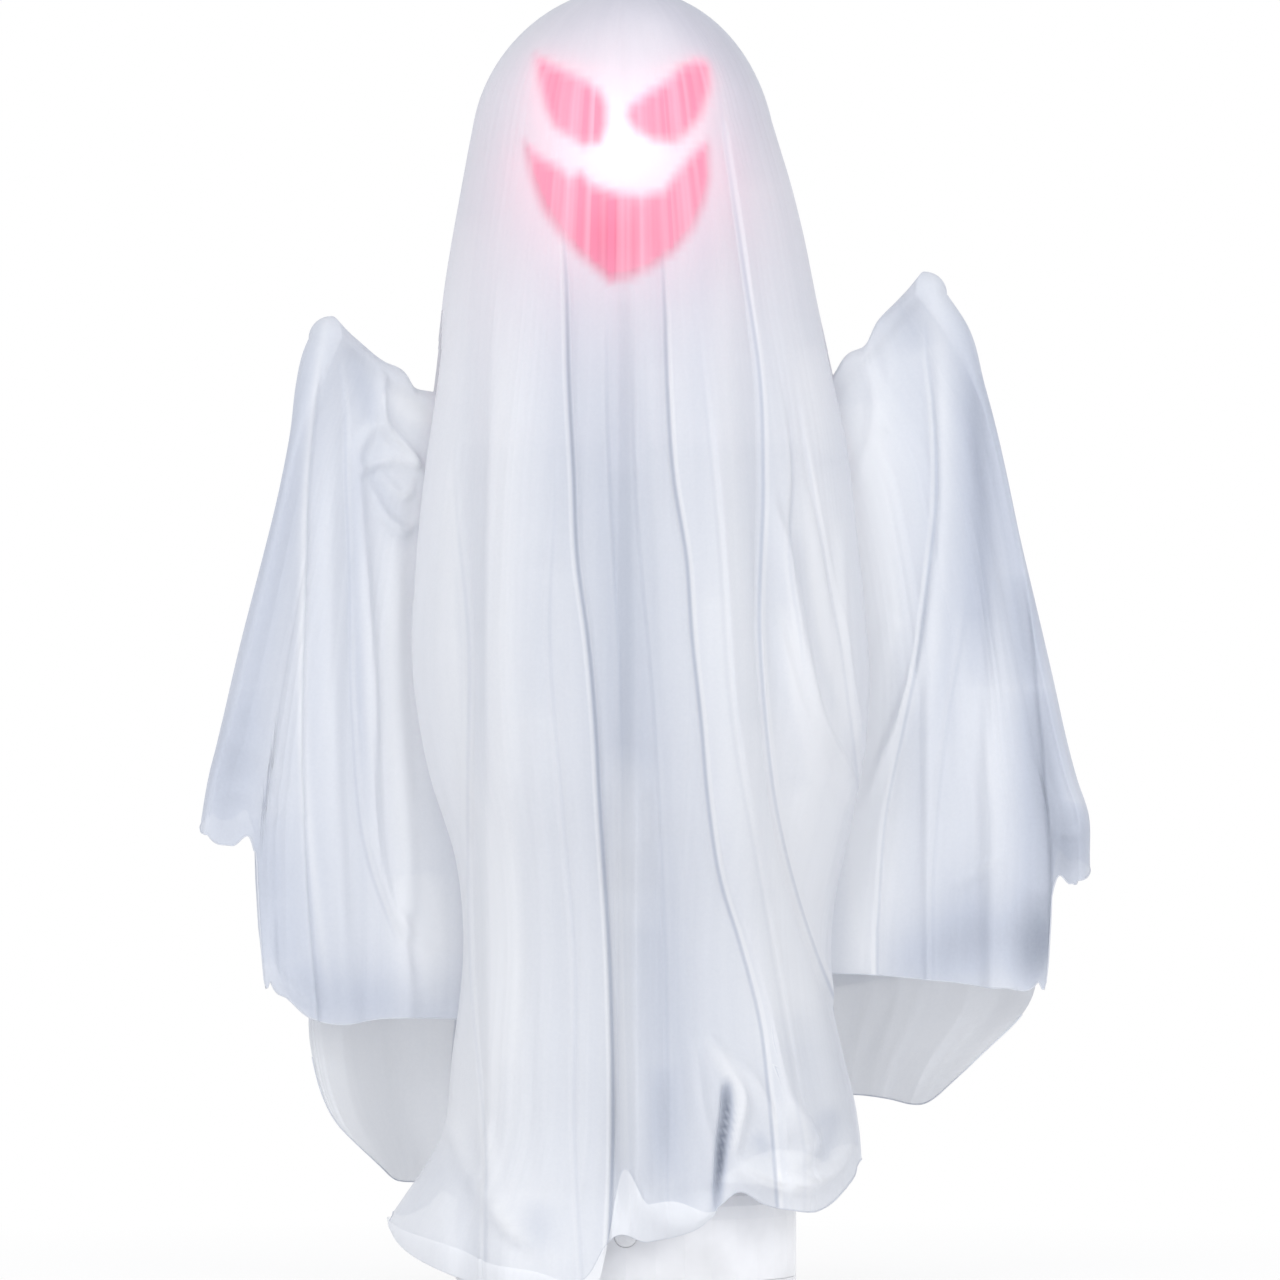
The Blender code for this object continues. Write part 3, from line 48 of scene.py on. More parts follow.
# %% [markdown]
# ## Smooth steps, tables and noise
# Cloth is described by a few measured widths and heights. Between them a smooth step keeps
# the surface free of corners. Value noise from a fixed seed gives the small irregularities
# that no real cloth is without, and it wraps round, so that a full turn closes without a seam.


# %% Helpers for shapes that vary along a height
def milli(typed):
    """Sizes typed in millimetres to metres, and shares typed in thousandths to shares of 1."""
    if isinstance(typed, dict):
        return {name: milli(part) for name, part in typed.items()}
    if isinstance(typed, tuple):
        return tuple(milli(part) for part in typed)
    return typed if isinstance(typed, str) else typed / 1000


def smooth(share):
    share = np.clip(share, 0, 1)
    return share * share * (3 - 2 * share)


def ramp(value, start, end):
    """0 before start and 1 after end, with a smooth step between them."""
    return smooth((value - start) / (end - start))


def table(value, pairs):
    """The value of a list of (place, value) pairs, in a smooth line through all of them."""
    places = np.array([p for p, _ in sorted(pairs)])
    values = np.array([v for _, v in sorted(pairs)])
    slopes = np.gradient(values, places)
    value = np.clip(value, places[0], places[-1])
    i = np.clip(np.searchsorted(places, value) - 1, 0, len(places) - 2)
    wide = places[i + 1] - places[i]
    t = (value - places[i]) / wide
    rest = 1 - t
    return (values[i] * rest * rest * (1 + 2 * t) + values[i + 1] * t * t * (3 - 2 * t)
            + slopes[i] * wide * t * rest * rest - slopes[i + 1] * wide * t * t * rest)


def noise(across, down, cells, rows, seed, wrap=True):
    """Smooth noise from -1 to 1. across and down run from 0 to 1."""
    grid = np.random.default_rng(seed).uniform(-1, 1, (rows + 2, cells + (0 if wrap else 2)))
    a, b = across * cells, np.clip(down, 0, 1) * rows
    i, j = np.floor(a).astype(int), np.floor(b).astype(int)
    fa, fb = smooth(a - i), smooth(b - j)
    k = (i + 1) % grid.shape[1] if wrap else np.clip(i + 1, 0, grid.shape[1] - 1)
    i = i % grid.shape[1] if wrap else np.clip(i, 0, grid.shape[1] - 1)
    low = grid[j, i] * (1 - fa) + grid[j, k] * fa
    high = grid[j + 1, i] * (1 - fa) + grid[j + 1, k] * fa
    return low * (1 - fb) + high * fb


def pleats(across, down, count, seed, sharp=0.75, drift=0.35):
    """Round ridges with narrow creases between them, of unlike widths and heights."""
    phase = across * count + drift * noise(across, down, max(count // 3, 3), 3, seed)
    phase = phase + 0.9 * noise(across, 0 * down, max(count // 2, 3), 1, seed + 1)
    size = 0.62 + 0.38 * noise(across, down, max(count // 2, 3), 4, seed + 2)
    return (np.abs(np.sin(pi * phase)) ** sharp - 0.62) * size


# %% [markdown]
# ## Laps and ridges
# Two forms make nearly every fold of hanging cloth. In a lap, one panel lies over the next: the
# surface rises gently and then drops at a thin line. A ridge is a soft round fold that catches
# the light. Each follows a track, a list of places down the cloth, measured off the photograph.


# %% Folds along tracks
def lap(off, rise, drop, wide):
    """off is negative on the upper panel and positive on the one below it."""
    over = rise * np.exp(np.minimum(off, 0) / wide)
    under = -drop * np.exp(-np.maximum(off, 0) / (0.45 * wide))
    edge = ramp(off, -0.0020, 0.0020)
    return over * (1 - edge) + under * edge


def grown_at(height, start, full, last=-1.0):
    """0 above start and 1 below full. Where last is given, the fold runs out at that height."""
    return ramp(-height, -start, -full) * ramp(height, last - 0.02, last + 0.02)


def off_track(x, height, track, over):
    """Distance from the edge of a lap, negative on the panel that lies over the other."""
    return (x - table(height, track)) * (1 if over == "left" else -1)


def folds_of(x, height, laps, ridges):
    """How far the laps and ridges of a cloth move it outwards."""
    total = 0 * x
    for track, over, rise, drop, wide, *span in laps:
        off = off_track(x, height, track, over)
        total = total + grown_at(height, *span) * lap(off, rise, drop, wide)
    for track, rise, wide, *span in ridges:
        off = (x - table(height, track)) / wide
        total = total + grown_at(height, *span) * rise * np.exp(-off ** 2)
    return total


def to_piece(x, z, start, end):
    """Distance to a straight piece of a line, and the share of the way along the piece."""
    (x0, z0), (x1, z1) = start, end
    run, rise = x1 - x0, z1 - z0
    t = np.clip(((x - x0) * run + (z - z0) * rise) / (run * run + rise * rise), 0, 1)
    return np.hypot(x - x0 - t * run, z - z0 - t * rise), t


def along_line(x, z, points, steps=8):
    """Distance to a smooth line through the points, and the share of the way along it."""
    points = np.array(points)
    marks = np.linspace(0, 1, len(points))
    fine = np.linspace(0, 1, (len(points) - 1) * steps + 1)
    line = np.stack([table(fine, list(zip(marks, points[:, k]))) for k in (0, 1)], axis=1)
    best, share = np.full(x.shape, 9.0), 0 * x
    for i, (start, end) in enumerate(zip(line, line[1:])):
        far, t = to_piece(x, z, start, end)
        nearer = far < best
        best = np.where(nearer, far, best)
        share = np.where(nearer, (i + t) / (len(line) - 1), share)
    return best, share


def rolls(x, z, lines):
    """Round folds along lines that run any way, thin at both ends."""
    total = 0 * x
    for points, rise, wide in lines:
        far, share = along_line(x, z, points)
        total = total + rise * np.exp(-(far / wide) ** 2) * np.sin(pi * share) ** 0.5
    return total


# %% [markdown]
# ## From points to a cloth
# A cloth is one grid of points. The grid goes to a mesh with a UV map in metres of real
# cloth, so that a weave drawn on it keeps its size wherever the cloth folds.


# %% Turn a grid of points into a smooth mesh with a UV map in metres
def add_object(name, data):
    made = bpy.data.objects.new(name, data)
    scene.collection.objects.link(made)
    return made


def cloth_mesh(name, grid, wrap=False, gone=None):
    """grid is rows by columns by 3. gone marks the cells that are open, as in a slit."""
    rows, columns = grid.shape[:2]
    index = np.arange(rows * columns).reshape(rows, columns)
    right = np.roll(index, -1, axis=1) if wrap else index[:, 1:]
    here = index if wrap else index[:, :-1]
    quads = np.stack([here[:-1], here[1:], right[1:], right[:-1]], axis=-1)
    keep = np.ones(quads.shape[:2], bool) if gone is None else ~gone[:, :quads.shape[1]]
    quads = quads[keep]
    mesh = bpy.data.meshes.new(name)
    mesh.from_pydata(grid.reshape(-1, 3).tolist(), [], quads.tolist())
    down = np.cumsum(np.linalg.norm(np.diff(grid, axis=0, prepend=grid[:1]), axis=2), axis=0)
    middle = rows // 2
    step = np.linalg.norm(np.diff(grid[middle], axis=0, prepend=grid[middle, :1]), axis=1)
    around = np.cumsum(step)
    closing = np.linalg.norm(grid[middle, 0] - grid[middle, -1])
    where = np.broadcast_to(np.arange(columns), (rows, columns)).reshape(-1)
    drop = down.reshape(-1)
    uv = mesh.uv_layers.new(name="Cloth")
    loops = quads.reshape(-1)
    width = around[where[loops]].reshape(-1, 4)
    if wrap:
        last = where[loops].reshape(-1, 4)
        seam = last.max(1) - last.min(1) > columns // 2
        width[seam] = np.where(last[seam] == 0, around[-1] + closing, width[seam])
    coords = np.stack([width.reshape(-1), -drop[loops]], axis=1)
    uv.data.foreach_set("uv", coords.astype(np.float32).reshape(-1))
    tidy = bmesh.new()
    tidy.from_mesh(mesh)
    bmesh.ops.remove_doubles(tidy, verts=tidy.verts, dist=0.02 * MM)
    loose = [v for v in tidy.verts if not v.link_faces]
    bmesh.ops.delete(tidy, geom=loose, context="VERTS")
    bmesh.ops.dissolve_degenerate(tidy, dist=0.01 * MM, edges=tidy.edges)
    tidy.to_mesh(mesh)
    tidy.free()
    mesh.shade_smooth()
    print(f"{name}: {len(mesh.vertices)} points, {len(mesh.polygons)} faces")
    return add_object(name, mesh)


# %% [markdown]
# ## Head shroud: the width it hangs at
# The shroud is the tall cloth over the head. It rests on the dome of the head, falls a little
# outwards to the shoulders and then hangs nearly straight to the floor. Its widths to the left
# and right of the mast were measured off the photograph at a few heights.

# %% Widths of the shroud from the mast, by height, in millimetres
HEAD_CENTRE = 0.8185
DOME = 0.0948
SLIT_TOP = 0.685
SLIT_FORWARD = 0.05  # how far it lies forward at the arm, as a cosine of the turn
SLIT_HALF = (0.02, 0.08, 0.02)  # half its width at the top, and what it gains twice lower down
LEFT_WIDTH = milli(((818.5, 107.3), (795, 111.8), (772, 116), (706, 127), (646, 134), (572, 145),
    (499, 152), (437, 154), (365, 144), (299, 125), (252, 120), (164, 126), (97, 136), (60, 160),
    (45, 170), (30, 176), (0, 180)))
RIGHT_WIDTH = milli(((818.5, 103), (795, 110.2), (780, 114.8), (747, 123.5), (683, 137),
    (639, 147), (595, 156), (539, 163), (468, 170), (426, 173), (341, 164), (260, 148), (183, 152),
    (123, 166), (60, 170), (0, 164)))
DEEP_SHARE = ((0.8185, 1.0), (0.70, 0.90), (0.55, 0.88), (0.30, 0.97), (0.0, 1.0))
HEM_FRONT = ((-1.6, 0.060), (-1.35, 0.046), (-1.10, 0.030), (-0.80, 0.016), (-0.58, 0.006),
             (-0.24, 0.007), (-0.13, 0.019), (-0.08, 0.036), (0.10, 0.038), (0.31, 0.048),
             (0.47, 0.072), (0.60, 0.063), (0.78, 0.057), (1.2, 0.070), (1.6, 0.100))

# %% [markdown]
# ## Head shroud: creases and pleats
# Three long laps show in front. The panels left and right of the middle lie over a sunken
# band between them, and a third line runs from the head down to the right-hand corner. Soft
# ridges run beside them, and at the lower right the cloth is bunched into rolls.

# %% Tracks of the folds in front: places across the figure by height, in millimetres
MIDDLE_LEFT = ((800, -48.6), (708, -42.5), (634, -40.5), (567, -37), (510, -34.5), (454, -27),
    (398, -22), (341, -19), (228, -12), (100, -10), (0, -14))
MIDDLE_RIGHT = ((720, 26), (680, 28), (623, 30), (567, 34), (510, 43), (454, 47), (398, 53),
    (341, 58), (285, 67), (243, 80), (183, 95), (148, 99), (0, 110))
FAR_RIGHT = ((898, 52), (852, 63), (782, 73), (708, 84), (634, 94.5), (567, 96.5), (454, 94),
    (398, 98), (341, 105), (285, 118), (228, 137), (172, 160), (0, 190))
SHROUD_LAPS = milli((
    (MIDDLE_LEFT, "left", 4, 5, 14, 800, 660),
    (MIDDLE_RIGHT, "right", 4, 4.5, 12, 780, 620),
    (FAR_RIGHT, "right", 3.5, 3.5, 12, 900, 720),
    (((720, 46), (510, 66), (398, 74), (285, 94), (100, 125)), "right", 1.2, 1.4, 7, 700, 580),
    (((720, -62), (580, -50), (454, -53.5), (341, -45), (228, -36), (116, -36.5), (0, -30)),
     "left", 1.4, 1.8, 8, 600, 460),
    (((720, -108), (567, -120), (454, -110.5), (341, -111.5), (228, -110.5), (100, -98)), "left",
     1.8, 2.2, 10, 620, 440),
    (((720, 4), (550, 8), (410, 20), (228, 29), (50, 30)), "right", 1, 1.3, 5, 680, 580),
    (((700, -14), (623, -14), (454, -6), (341, -3), (228, -1.4), (50, 4)), "left", 1, 1.2, 5, 720,
     620),
    (((700, 110), (600, 124), (510, 140), (454, 150), (398, 158), (300, 170)), "right", 1.8, 2.4,
     9, 660, 540),
    (((700, 100), (567, 115.5), (510, 113), (454, 120.5), (350, 128)), "left", 1.6, 2, 8, 640, 560,
     440),
))
SHROUD_RIDGES = milli((
    (((760, -70), (450, -80), (80, -78)), 9, 22, 790, 560),
    (((760, -6), (450, 10), (250, 26), (80, 32)), -14, 30, 790, 560),
    (((760, 54), (450, 66), (250, 88), (80, 116)), 8, 16, 790, 560),
    (((760, 88), (450, 102), (310, 118), (170, 160)), -5, 14, 790, 560),
    (((760, -114), (450, -112), (80, -108)), -5, 14, 790, 560),
    (((450, -60), (200, -56), (0, -50)), 2.2, 7, 520, 360),
    (((750, 12), (450, 28), (200, 46), (0, 50)), 2, 6, 740, 600),
    (((750, -88), (450, -94), (200, -90), (0, -95)), 1.6, 5, 740, 600),
))
BUNCHED = milli((
    (((53, 180.5), (66, 160), (79, 137), (75, 112), (74, 94)), 8, 5),
    (((55, 178), (84, 152), (98, 128), (112, 105)), 6, 5),
    (((98, 190), (108, 150), (118, 120), (140, 95)), 5, 5.5),
    (((74, 94), (88, 83), (110, 76), (140, 82), (160, 112)), 9, 6),
    (((112, 135), (124, 118), (128, 98), (112, 88)), 5, 5),
    (((48, 178), (50, 140), (56, 105), (58, 76)), 6, 6),
    (((70.5, 146), (70, 125), (66.3, 101), (62, 58)), -12, 3.4),
    (((-125, 120), (-108, 85), (-84, 52), (-50, 28)), 5, 5),
    (((-100, 120), (-86, 60), (-64, 35)), 4, 5),
    (((10, 70), (30, 52), (55, 58), (74, 84)), 6, 9),
))
SWAG = milli((
    (((100, 556), (114, 499), (130, 407.5), (148, 369), (162, 342)), 8, 5),
    (((106, 470), (120, 410), (138, 365), (156, 338)), 5, 4.5),
    (((150, 540), (151, 450), (158, 400), (166, 370)), 4.5, 4.5),
    (((128, 560), (140, 480), (148, 430)), 3, 5),
))
BACK_FOLD = 0.010
BACK_FOLD_COUNT = 8


# %% The surface of the shroud
def right_side(turn):
    """0 on the left of the figure and 1 on the right, with a smooth change in the middle."""
    return ramp(np.sin(turn), -0.06, 0.06)


def shroud_surface(turn, height):
    """Points of the shroud. turn is the angle from the front, positive to the right."""
    across = (turn / TAU) % 1.0
    down = np.clip((HEAD_CENTRE - height) / HEAD_CENTRE, 0, 1)
    share = right_side(turn)
    half = table(height, LEFT_WIDTH) * (1 - share) + table(height, RIGHT_WIDTH) * share
    grown = ramp(-height, -0.79, -0.56)
    front = ramp(np.cos(turn), 0.0, 0.25)
    x = half * np.sin(turn)
    swell = front * (folds_of(x, height, SHROUD_LAPS, SHROUD_RIDGES) + rolls(x, height, SWAG))
    back = BACK_FOLD * np.cos(BACK_FOLD_COUNT * turn) + 0.004 * pleats(across, down, 30, 11, 0.85)
    broad = 0.0006 * pleats(across, down, 30, 23, 0.9, 0.2) + 0.0020 * noise(across, down, 18, 3, 5)
    fine = 0.0002 * pleats(across, down, 130, 37, 0.95, 0.2) * ramp(-height, -0.92, -0.72)
    back = back - BACK_FOLD * np.exp(-(np.cos(turn) / 0.35) ** 2)
    swell = swell + ((1 - front) * back + broad) * grown + fine
    deep = table(height, DEEP_SHARE)
    x = (half + swell) * np.sin(turn)
    y = -(half * deep + swell) * np.cos(turn)
    return x, y


# %% [markdown]
# ## Head shroud: the dome and the slits
# Over the head the rows follow a ball. Below the shoulders the cloth is slit on both sides to
# let the arms out, so the cells of the grid there are left open.

# %% Build the shroud
COLUMNS = 600
DOME_ROWS = 26
FALL_ROWS = 144
FRONT_SHARE = 0.35  # how much closer the columns stand in front than on average


def hem_of(turn):
    """Height of the lower edge of the shroud, by the angle from the front."""
    lean = (turn + pi) % TAU - pi
    behind = 0.055 + 0.035 * ramp(np.sin(lean), 0.2, 0.8) + 0.008 * np.sin(8 * lean)
    front = table(np.clip(lean, -1.6, 1.6), HEM_FRONT)
    return np.where(np.abs(lean) < pi / 2, front, behind)


def dome_of(turn):
    """The rows of points over the head, and how far the gathers stand out at its edge."""
    lean = np.linspace(0, pi / 2, DOME_ROWS)[:, None]
    gathers = 0.0004 * pleats((turn / TAU)[None, :] % 1.0, lean / pi, 70, 41, 0.9)
    gathers = gathers * np.sin(lean) ** 2
    right = right_side(turn)[None, :]
    edge = LEFT_WIDTH[0][1] * (1 - right) + RIGHT_WIDTH[0][1] * right
    spread = np.clip((lean - 0.4) / (pi / 2 - 0.4), 0, 1) ** (1.6 + 1.4 * right)
    radius = (DOME + gathers) * np.sin(lean) + (edge - DOME) * spread
    dome = np.stack([radius * np.sin(turn), -radius * np.cos(turn),
                     HEAD_CENTRE + DOME * np.cos(lean) + 0 * turn], axis=-1)
    return dome, gathers[-1]


def turns_of_shroud():
    """The angle of each column from the front, closer together in front."""
    theta = np.arange(COLUMNS) / COLUMNS * TAU - pi
    return theta - FRONT_SHARE * np.sin(theta)


def slit_cells(turn, level):
    """The cells that stay open at the sides. A slit starts narrow and lies forward at the arm."""
    side = np.abs(np.cos(turn)[None, :] - SLIT_FORWARD * ramp(level, 0.45, 0.55))
    open_half = SLIT_HALF[0] + SLIT_HALF[1] * ramp(-level, -SLIT_TOP, -SLIT_TOP + 0.035)
    open_half = open_half + SLIT_HALF[2] * ramp(-level, -0.60, -0.50)
    return (level < SLIT_TOP) & (side < open_half)


def build_shroud():
    turn = turns_of_shroud()
    dome, gathers = dome_of(turn)
    share = np.linspace(0, 1, FALL_ROWS + 1)[1:, None]
    height = HEAD_CENTRE - (HEAD_CENTRE - hem_of(turn)[None, :]) * share
    x, y = shroud_surface(turn[None, :] + 0 * height, height)
    fade = 1 - ramp(-height, -HEAD_CENTRE, -HEAD_CENTRE + 0.12)
    bunch = rolls(x, height, BUNCHED) * ramp(-y, 0.0, 0.04) * ramp(-height, -0.24, -0.18)
    outward = np.stack([np.sin(turn), -np.cos(turn), 0 * turn], axis=-1)
    fall = np.stack([x, y, height], axis=-1)
    fall = fall + ((gathers * fade) + bunch)[..., None] * outward
    grid = np.concatenate([dome, fall])
    gone = slit_cells(turn, 0.5 * (grid[:-1, :, 2] + grid[1:, :, 2]))
    return cloth_mesh("shroud_cloth", grid, wrap=True, gone=gone), grid, gone


shroud, shroud_grid, shroud_gone = build_shroud()

# %% [markdown]
# ## Cape: the two wide layers behind
# Two more layers hang behind the shroud from shoulder to shoulder and flare out at the sides,
# where they show under the arms. The upper one ends about a hand above the lower one.

# %% Outlines of the cape layers
CAPE_START = pi * (0.5 + 1 / 16)
CAPE_TOP, CAPE_FULL = 0.600, 0.250
CAPE_OUT, CAPE_FLARE, CAPE_FORWARD = 0.008, 0.030, 0.030
CAPE_FOLD = 0.009
CAPE_SEEDS = {"upper": 51, "lower": 77}
CAPES = milli({
    "upper": {
        "inset": 0,
        "left": ((600, 146), (450, 200), (308, 246), (236, 250), (204, 240), (150, 230)),
        "right": ((600, 152), (450, 230), (300, 290), (240, 297), (219, 294), (150, 280)),
        "hem": ((0, 222), (40, 206), (80, 196), (300, 192), (500, 178), (700, 190), (800, 214),
            (900, 219), (950, 216), (1000, 226)),
    },
    "lower": {
        "inset": 7,
        "left": ((600, 146), (300, 200), (166, 222), (113, 206), (75, 178), (50, 170)),
        "right": ((600, 152), (300, 258), (197, 284), (149, 240), (128, 226), (50, 210)),
        "hem": ((0, 160), (30, 128), (70, 104), (130, 74), (200, 66), (500, 82), (700, 122),
            (780, 128), (900, 129), (940, 146), (970, 158), (1000, 190)),
    },
})
CAPE_COLUMNS = 380
CAPE_ROWS = 120


def build_cape(which, plan):
    """A layer that lies on the shroud at its top and swings out to its own outline below."""
    across = np.linspace(0, 1, CAPE_COLUMNS)[None, :]
    share = np.linspace(0, 1, CAPE_ROWS)[:, None]
    height = CAPE_TOP - (CAPE_TOP - table(across, plan["hem"])) * share
    across = across + 0 * height
    turn = TAU - CAPE_START - (TAU - 2 * CAPE_START) * across
    side = np.sin(turn)
    reach = np.where(side > 0, table(height, plan["right"]), -table(height, plan["left"]))
    sx, sy = shroud_surface(turn, height)
    drop = np.clip((CAPE_TOP - height) / (CAPE_TOP - CAPE_FULL), 0, 1)
    swing = ramp(-height, -0.338, -CAPE_FULL)
    down, seed = drop * 0.7, CAPE_SEEDS[which]
    edge = ramp(np.abs(side), 0.50, 0.98)
    x = sx + (reach - sx) * edge * drop
    folds = CAPE_FOLD * np.sin(16 * turn) * (1 - edge / 2)
    folds = folds + 0.0025 * pleats(across, down, 22, seed + 7, 0.9, 0.4)
    folds = folds + 0.0040 * noise(across, down, 14, 4, seed + 13, False)
    y = sy + 0.002 + (CAPE_OUT + CAPE_FLARE * (1 - edge) - plan["inset"] + folds) * drop
    y = y - CAPE_FORWARD * swing * edge
    grid = np.stack([x, y, height], axis=-1)
    return cloth_mesh(f"cape_{which}_layer", grid), grid


capes, grids = {}, {"shroud_cloth": shroud_grid}
for which, plan in CAPES.items():
    capes[which], grids[f"cape_{which}_layer"] = build_cape(which, plan)

# %% [markdown]
# ## Arm cloths
# Each arm lifts a square of cloth at its hand, like a tent on a pole. From the hand a fold runs
# down the outside, a front flap and a back flap hang from the rod, and their inner edges go
# into the slit of the shroud. Two tables give how far in and out the cloth reaches at each
# height, and the folds are laid on along tracks as on the shroud.

# %% Where each arm cloth hangs from and ends
ARM_ROUND = milli(((0, 9), (500, 10.5), (900, 12), (1000, 16)))  # by share of the way
LEFT_ARM = milli({
    "route": ((-112, 2, 612), (-136, -3, 619), (-150, -6, 622), (-159, -11, 634), (-170, -18, 639),
        (-190, -32, 655), (-206.5, -44, 665)),
    "inner": ((640, -112), (600, -120), (500, -134), (440, -136), (370, -124), (300, -110),
        (180, -108)),
    "outer": ((672, -207), (655, -214.5), (635, -220), (601, -226.5), (570, -233), (510, -247),
        (473, -256), (381, -279), (360, -285), (322, -292), (180, -292)),
    "hem": ((-310, 326), (-298, 322), (-290, 313), (-278, 310), (-264, 308), (-260.5, 290),
        (-258.5, 236), (-252, 214), (-239, 202), (-226, 190), (-212, 185), (-170, 188),
        (-100, 186)),
    "laps": (
        (((680, -209), (623, -216), (567, -222), (510, -224.5), (398, -227), (285, -223.5),
         (180, -215)), "left", 1.4, 2.6, 12, 670, 600),
        (((680, -206), (623, -197), (567, -196), (510, -194), (398, -192), (300, -181),
         (240, -160)), "right", 1.8, 3.4, 10, 670, 580, 250),
    ),
    "ridges": (
        (((660, -203), (500, -210), (300, -204), (180, -195)), 4.5, 8, 640, 500),
        (((660, -215), (500, -240), (320, -264)), 6, 20, 620, 450),
        (((600, -164), (500, -162), (300, -156)), 6, 10, 600, 450),
    ),
    "rolls": (
        (((-168, 648), (-172, 630), (-171, 608), (-152, 585), (-144, 568)), 4.5, 4),
        (((-176, 606), (-188, 590), (-190, 570), (-186, 500), (-180, 420), (-180, 340),
         (-172, 280), (-158, 252), (-130, 236)), 6, 5),
        (((-190, 573), (-168, 580), (-146, 577)), 4.5, 3.5),
        (((-184, 568), (-172, 542), (-157, 531), (-143, 541)), 5, 4),
        (((-176, 572), (-160, 556), (-148, 560)), 3.5, 3.5),
        (((-172, 628), (-170, 604), (-150, 580), (-138, 566)), 4, 3),
        (((-290, 392), (-262, 376), (-240, 356), (-224, 330)), 2.4, 8),
        (((-284, 350), (-262, 344), (-244, 330)), 1.8, 6),
        (((-250, 262), (-248, 226), (-232, 206), (-216, 196)), 3, 4),
        (((-152, 262), (-150, 236), (-144, 212)), -4, 6),
    ),
}) | {"side": "left", "seed": 101}
RIGHT_ARM = milli({
    "route": ((116, 2, 618), (146, -6, 630), (158, -10, 646), (168, -14, 650), (180, -19, 671),
        (190, -23, 681), (209.5, -34, 696.5)),
    "inner": ((640, 120), (600, 130), (500, 150), (420, 158), (340, 148), (250, 134), (180, 130)),
    "outer": ((699, 215), (675, 231), (632, 244), (581, 258), (510, 273), (430, 290), (355, 308),
        (332, 315.5), (300, 316.5), (180, 316.5)),
    "hem": ((120, 219.5), (180, 218.5), (230, 214), (270, 210), (290, 214), (296.5, 228),
        (298.5, 270), (300.5, 281), (312, 283.5), (317, 288), (319, 303), (321.5, 316),
        (330, 322)),
    "laps": (
        (((707.2, 227.4), (672, 239.7), (608, 257.3), (541, 271.4), (478, 282), (407.5, 289),
         (302, 298)), "right", 1, 3, 10, 700, 660),
        (((704, 211.5), (668, 209.7), (619, 215), (548.5, 216.8), (499, 211.5), (443, 204.5),
         (390, 194), (337, 183), (250, 176)), "left", 3, 4, 12, 690, 600),
        (((480, 238), (454, 235), (398, 225.5), (341, 219), (285, 215)), "left", 1.2, 2, 12, 500,
         420),
    ),
    "ridges": (
        (((680, 214), (620, 220.3), (500, 220.3), (440, 215)), 4.5, 6, 680, 600),
        (((660, 234), (584, 240), (513, 244), (450, 246)), -6, 9, 680, 600),
        (((450, 235), (390, 252), (330, 262), (250, 262)), 9, 16, 460, 340),
    ),
    "rolls": (
        (((150, 372), (165.7, 342.6), (180, 368.7), (197.4, 407.5), (211.5, 457), (215, 513)), 5.5,
         5),
        (((156, 480), (172, 440), (188, 470)), 2.4, 8),
        (((168, 650), (176, 630), (174, 600), (160, 560)), 3.6, 6),
        (((184, 664), (186, 630), (182, 600)), 2.4, 5),
        (((229, 281), (250, 292), (271, 305)), 2.5, 3.5),
        (((300, 316), (312, 318), (320, 320)), 3, 4),
    ),
}) | {"side": "right", "seed": 131}
CAP_ROWS = 10
FLAP_ROWS = 140
FLAP_COLUMNS = 150
TIP_COLUMNS = 44
SETTLE = 0.09  # below the rod the threads settle into the tables over this height


# %% The round of the cloth over the rod and the hand
def route_place(points, share):
    """A point at a share of the way along the arm, by length."""
    points = np.array(points)
    steps = np.linalg.norm(np.diff(points, axis=0), axis=1)
    marks = np.concatenate([[0], np.cumsum(steps)]) / steps.sum()
    return np.stack([table(share, list(zip(marks, points[:, k]))) for k in range(3)], axis=-1)


def arm_columns():
    """Share along the arm and share from the front to the back, for each column."""
    flap = np.linspace(0, 1, FLAP_COLUMNS)
    tip = np.linspace(0, 1, TIP_COLUMNS + 2)[1:-1]
    along = np.concatenate([flap, 1 + 0 * tip, flap[::-1]])
    return along, np.concatenate([0 * flap, tip, 1 + 0 * flap])


def arm_start(plan, along, swing):
    """The round of the cloth over the rod and the hand, and the way each column faces."""
    way = 1 if plan["side"] == "right" else -1
    centre = route_place(plan["route"], along)
    radius = table(along, ARM_ROUND)
    reach = np.array(plan["route"][-1]) - np.array(plan["route"][1])
    turn = np.arctan2(reach[1], reach[0]) - way * (pi / 2) + way * pi * swing
    facing = np.stack([np.cos(turn), np.sin(turn), 0 * turn], axis=-1)
    lean = np.linspace(0, pi / 2, CAP_ROWS)[:, None, None]
    cap = (centre[None] + facing[None] * radius[None, :, None] * np.sin(lean)
           + np.array([0, 0, 1.0]) * radius[None, :, None] * np.cos(lean))
    return cap, facing


def reach_of(plan, height, along):
    """The place across the figure, from the inner outline to the outer one."""
    inner, outer = table(height, plan["inner"]), table(height, plan["outer"])
    return inner + (outer - inner) * along


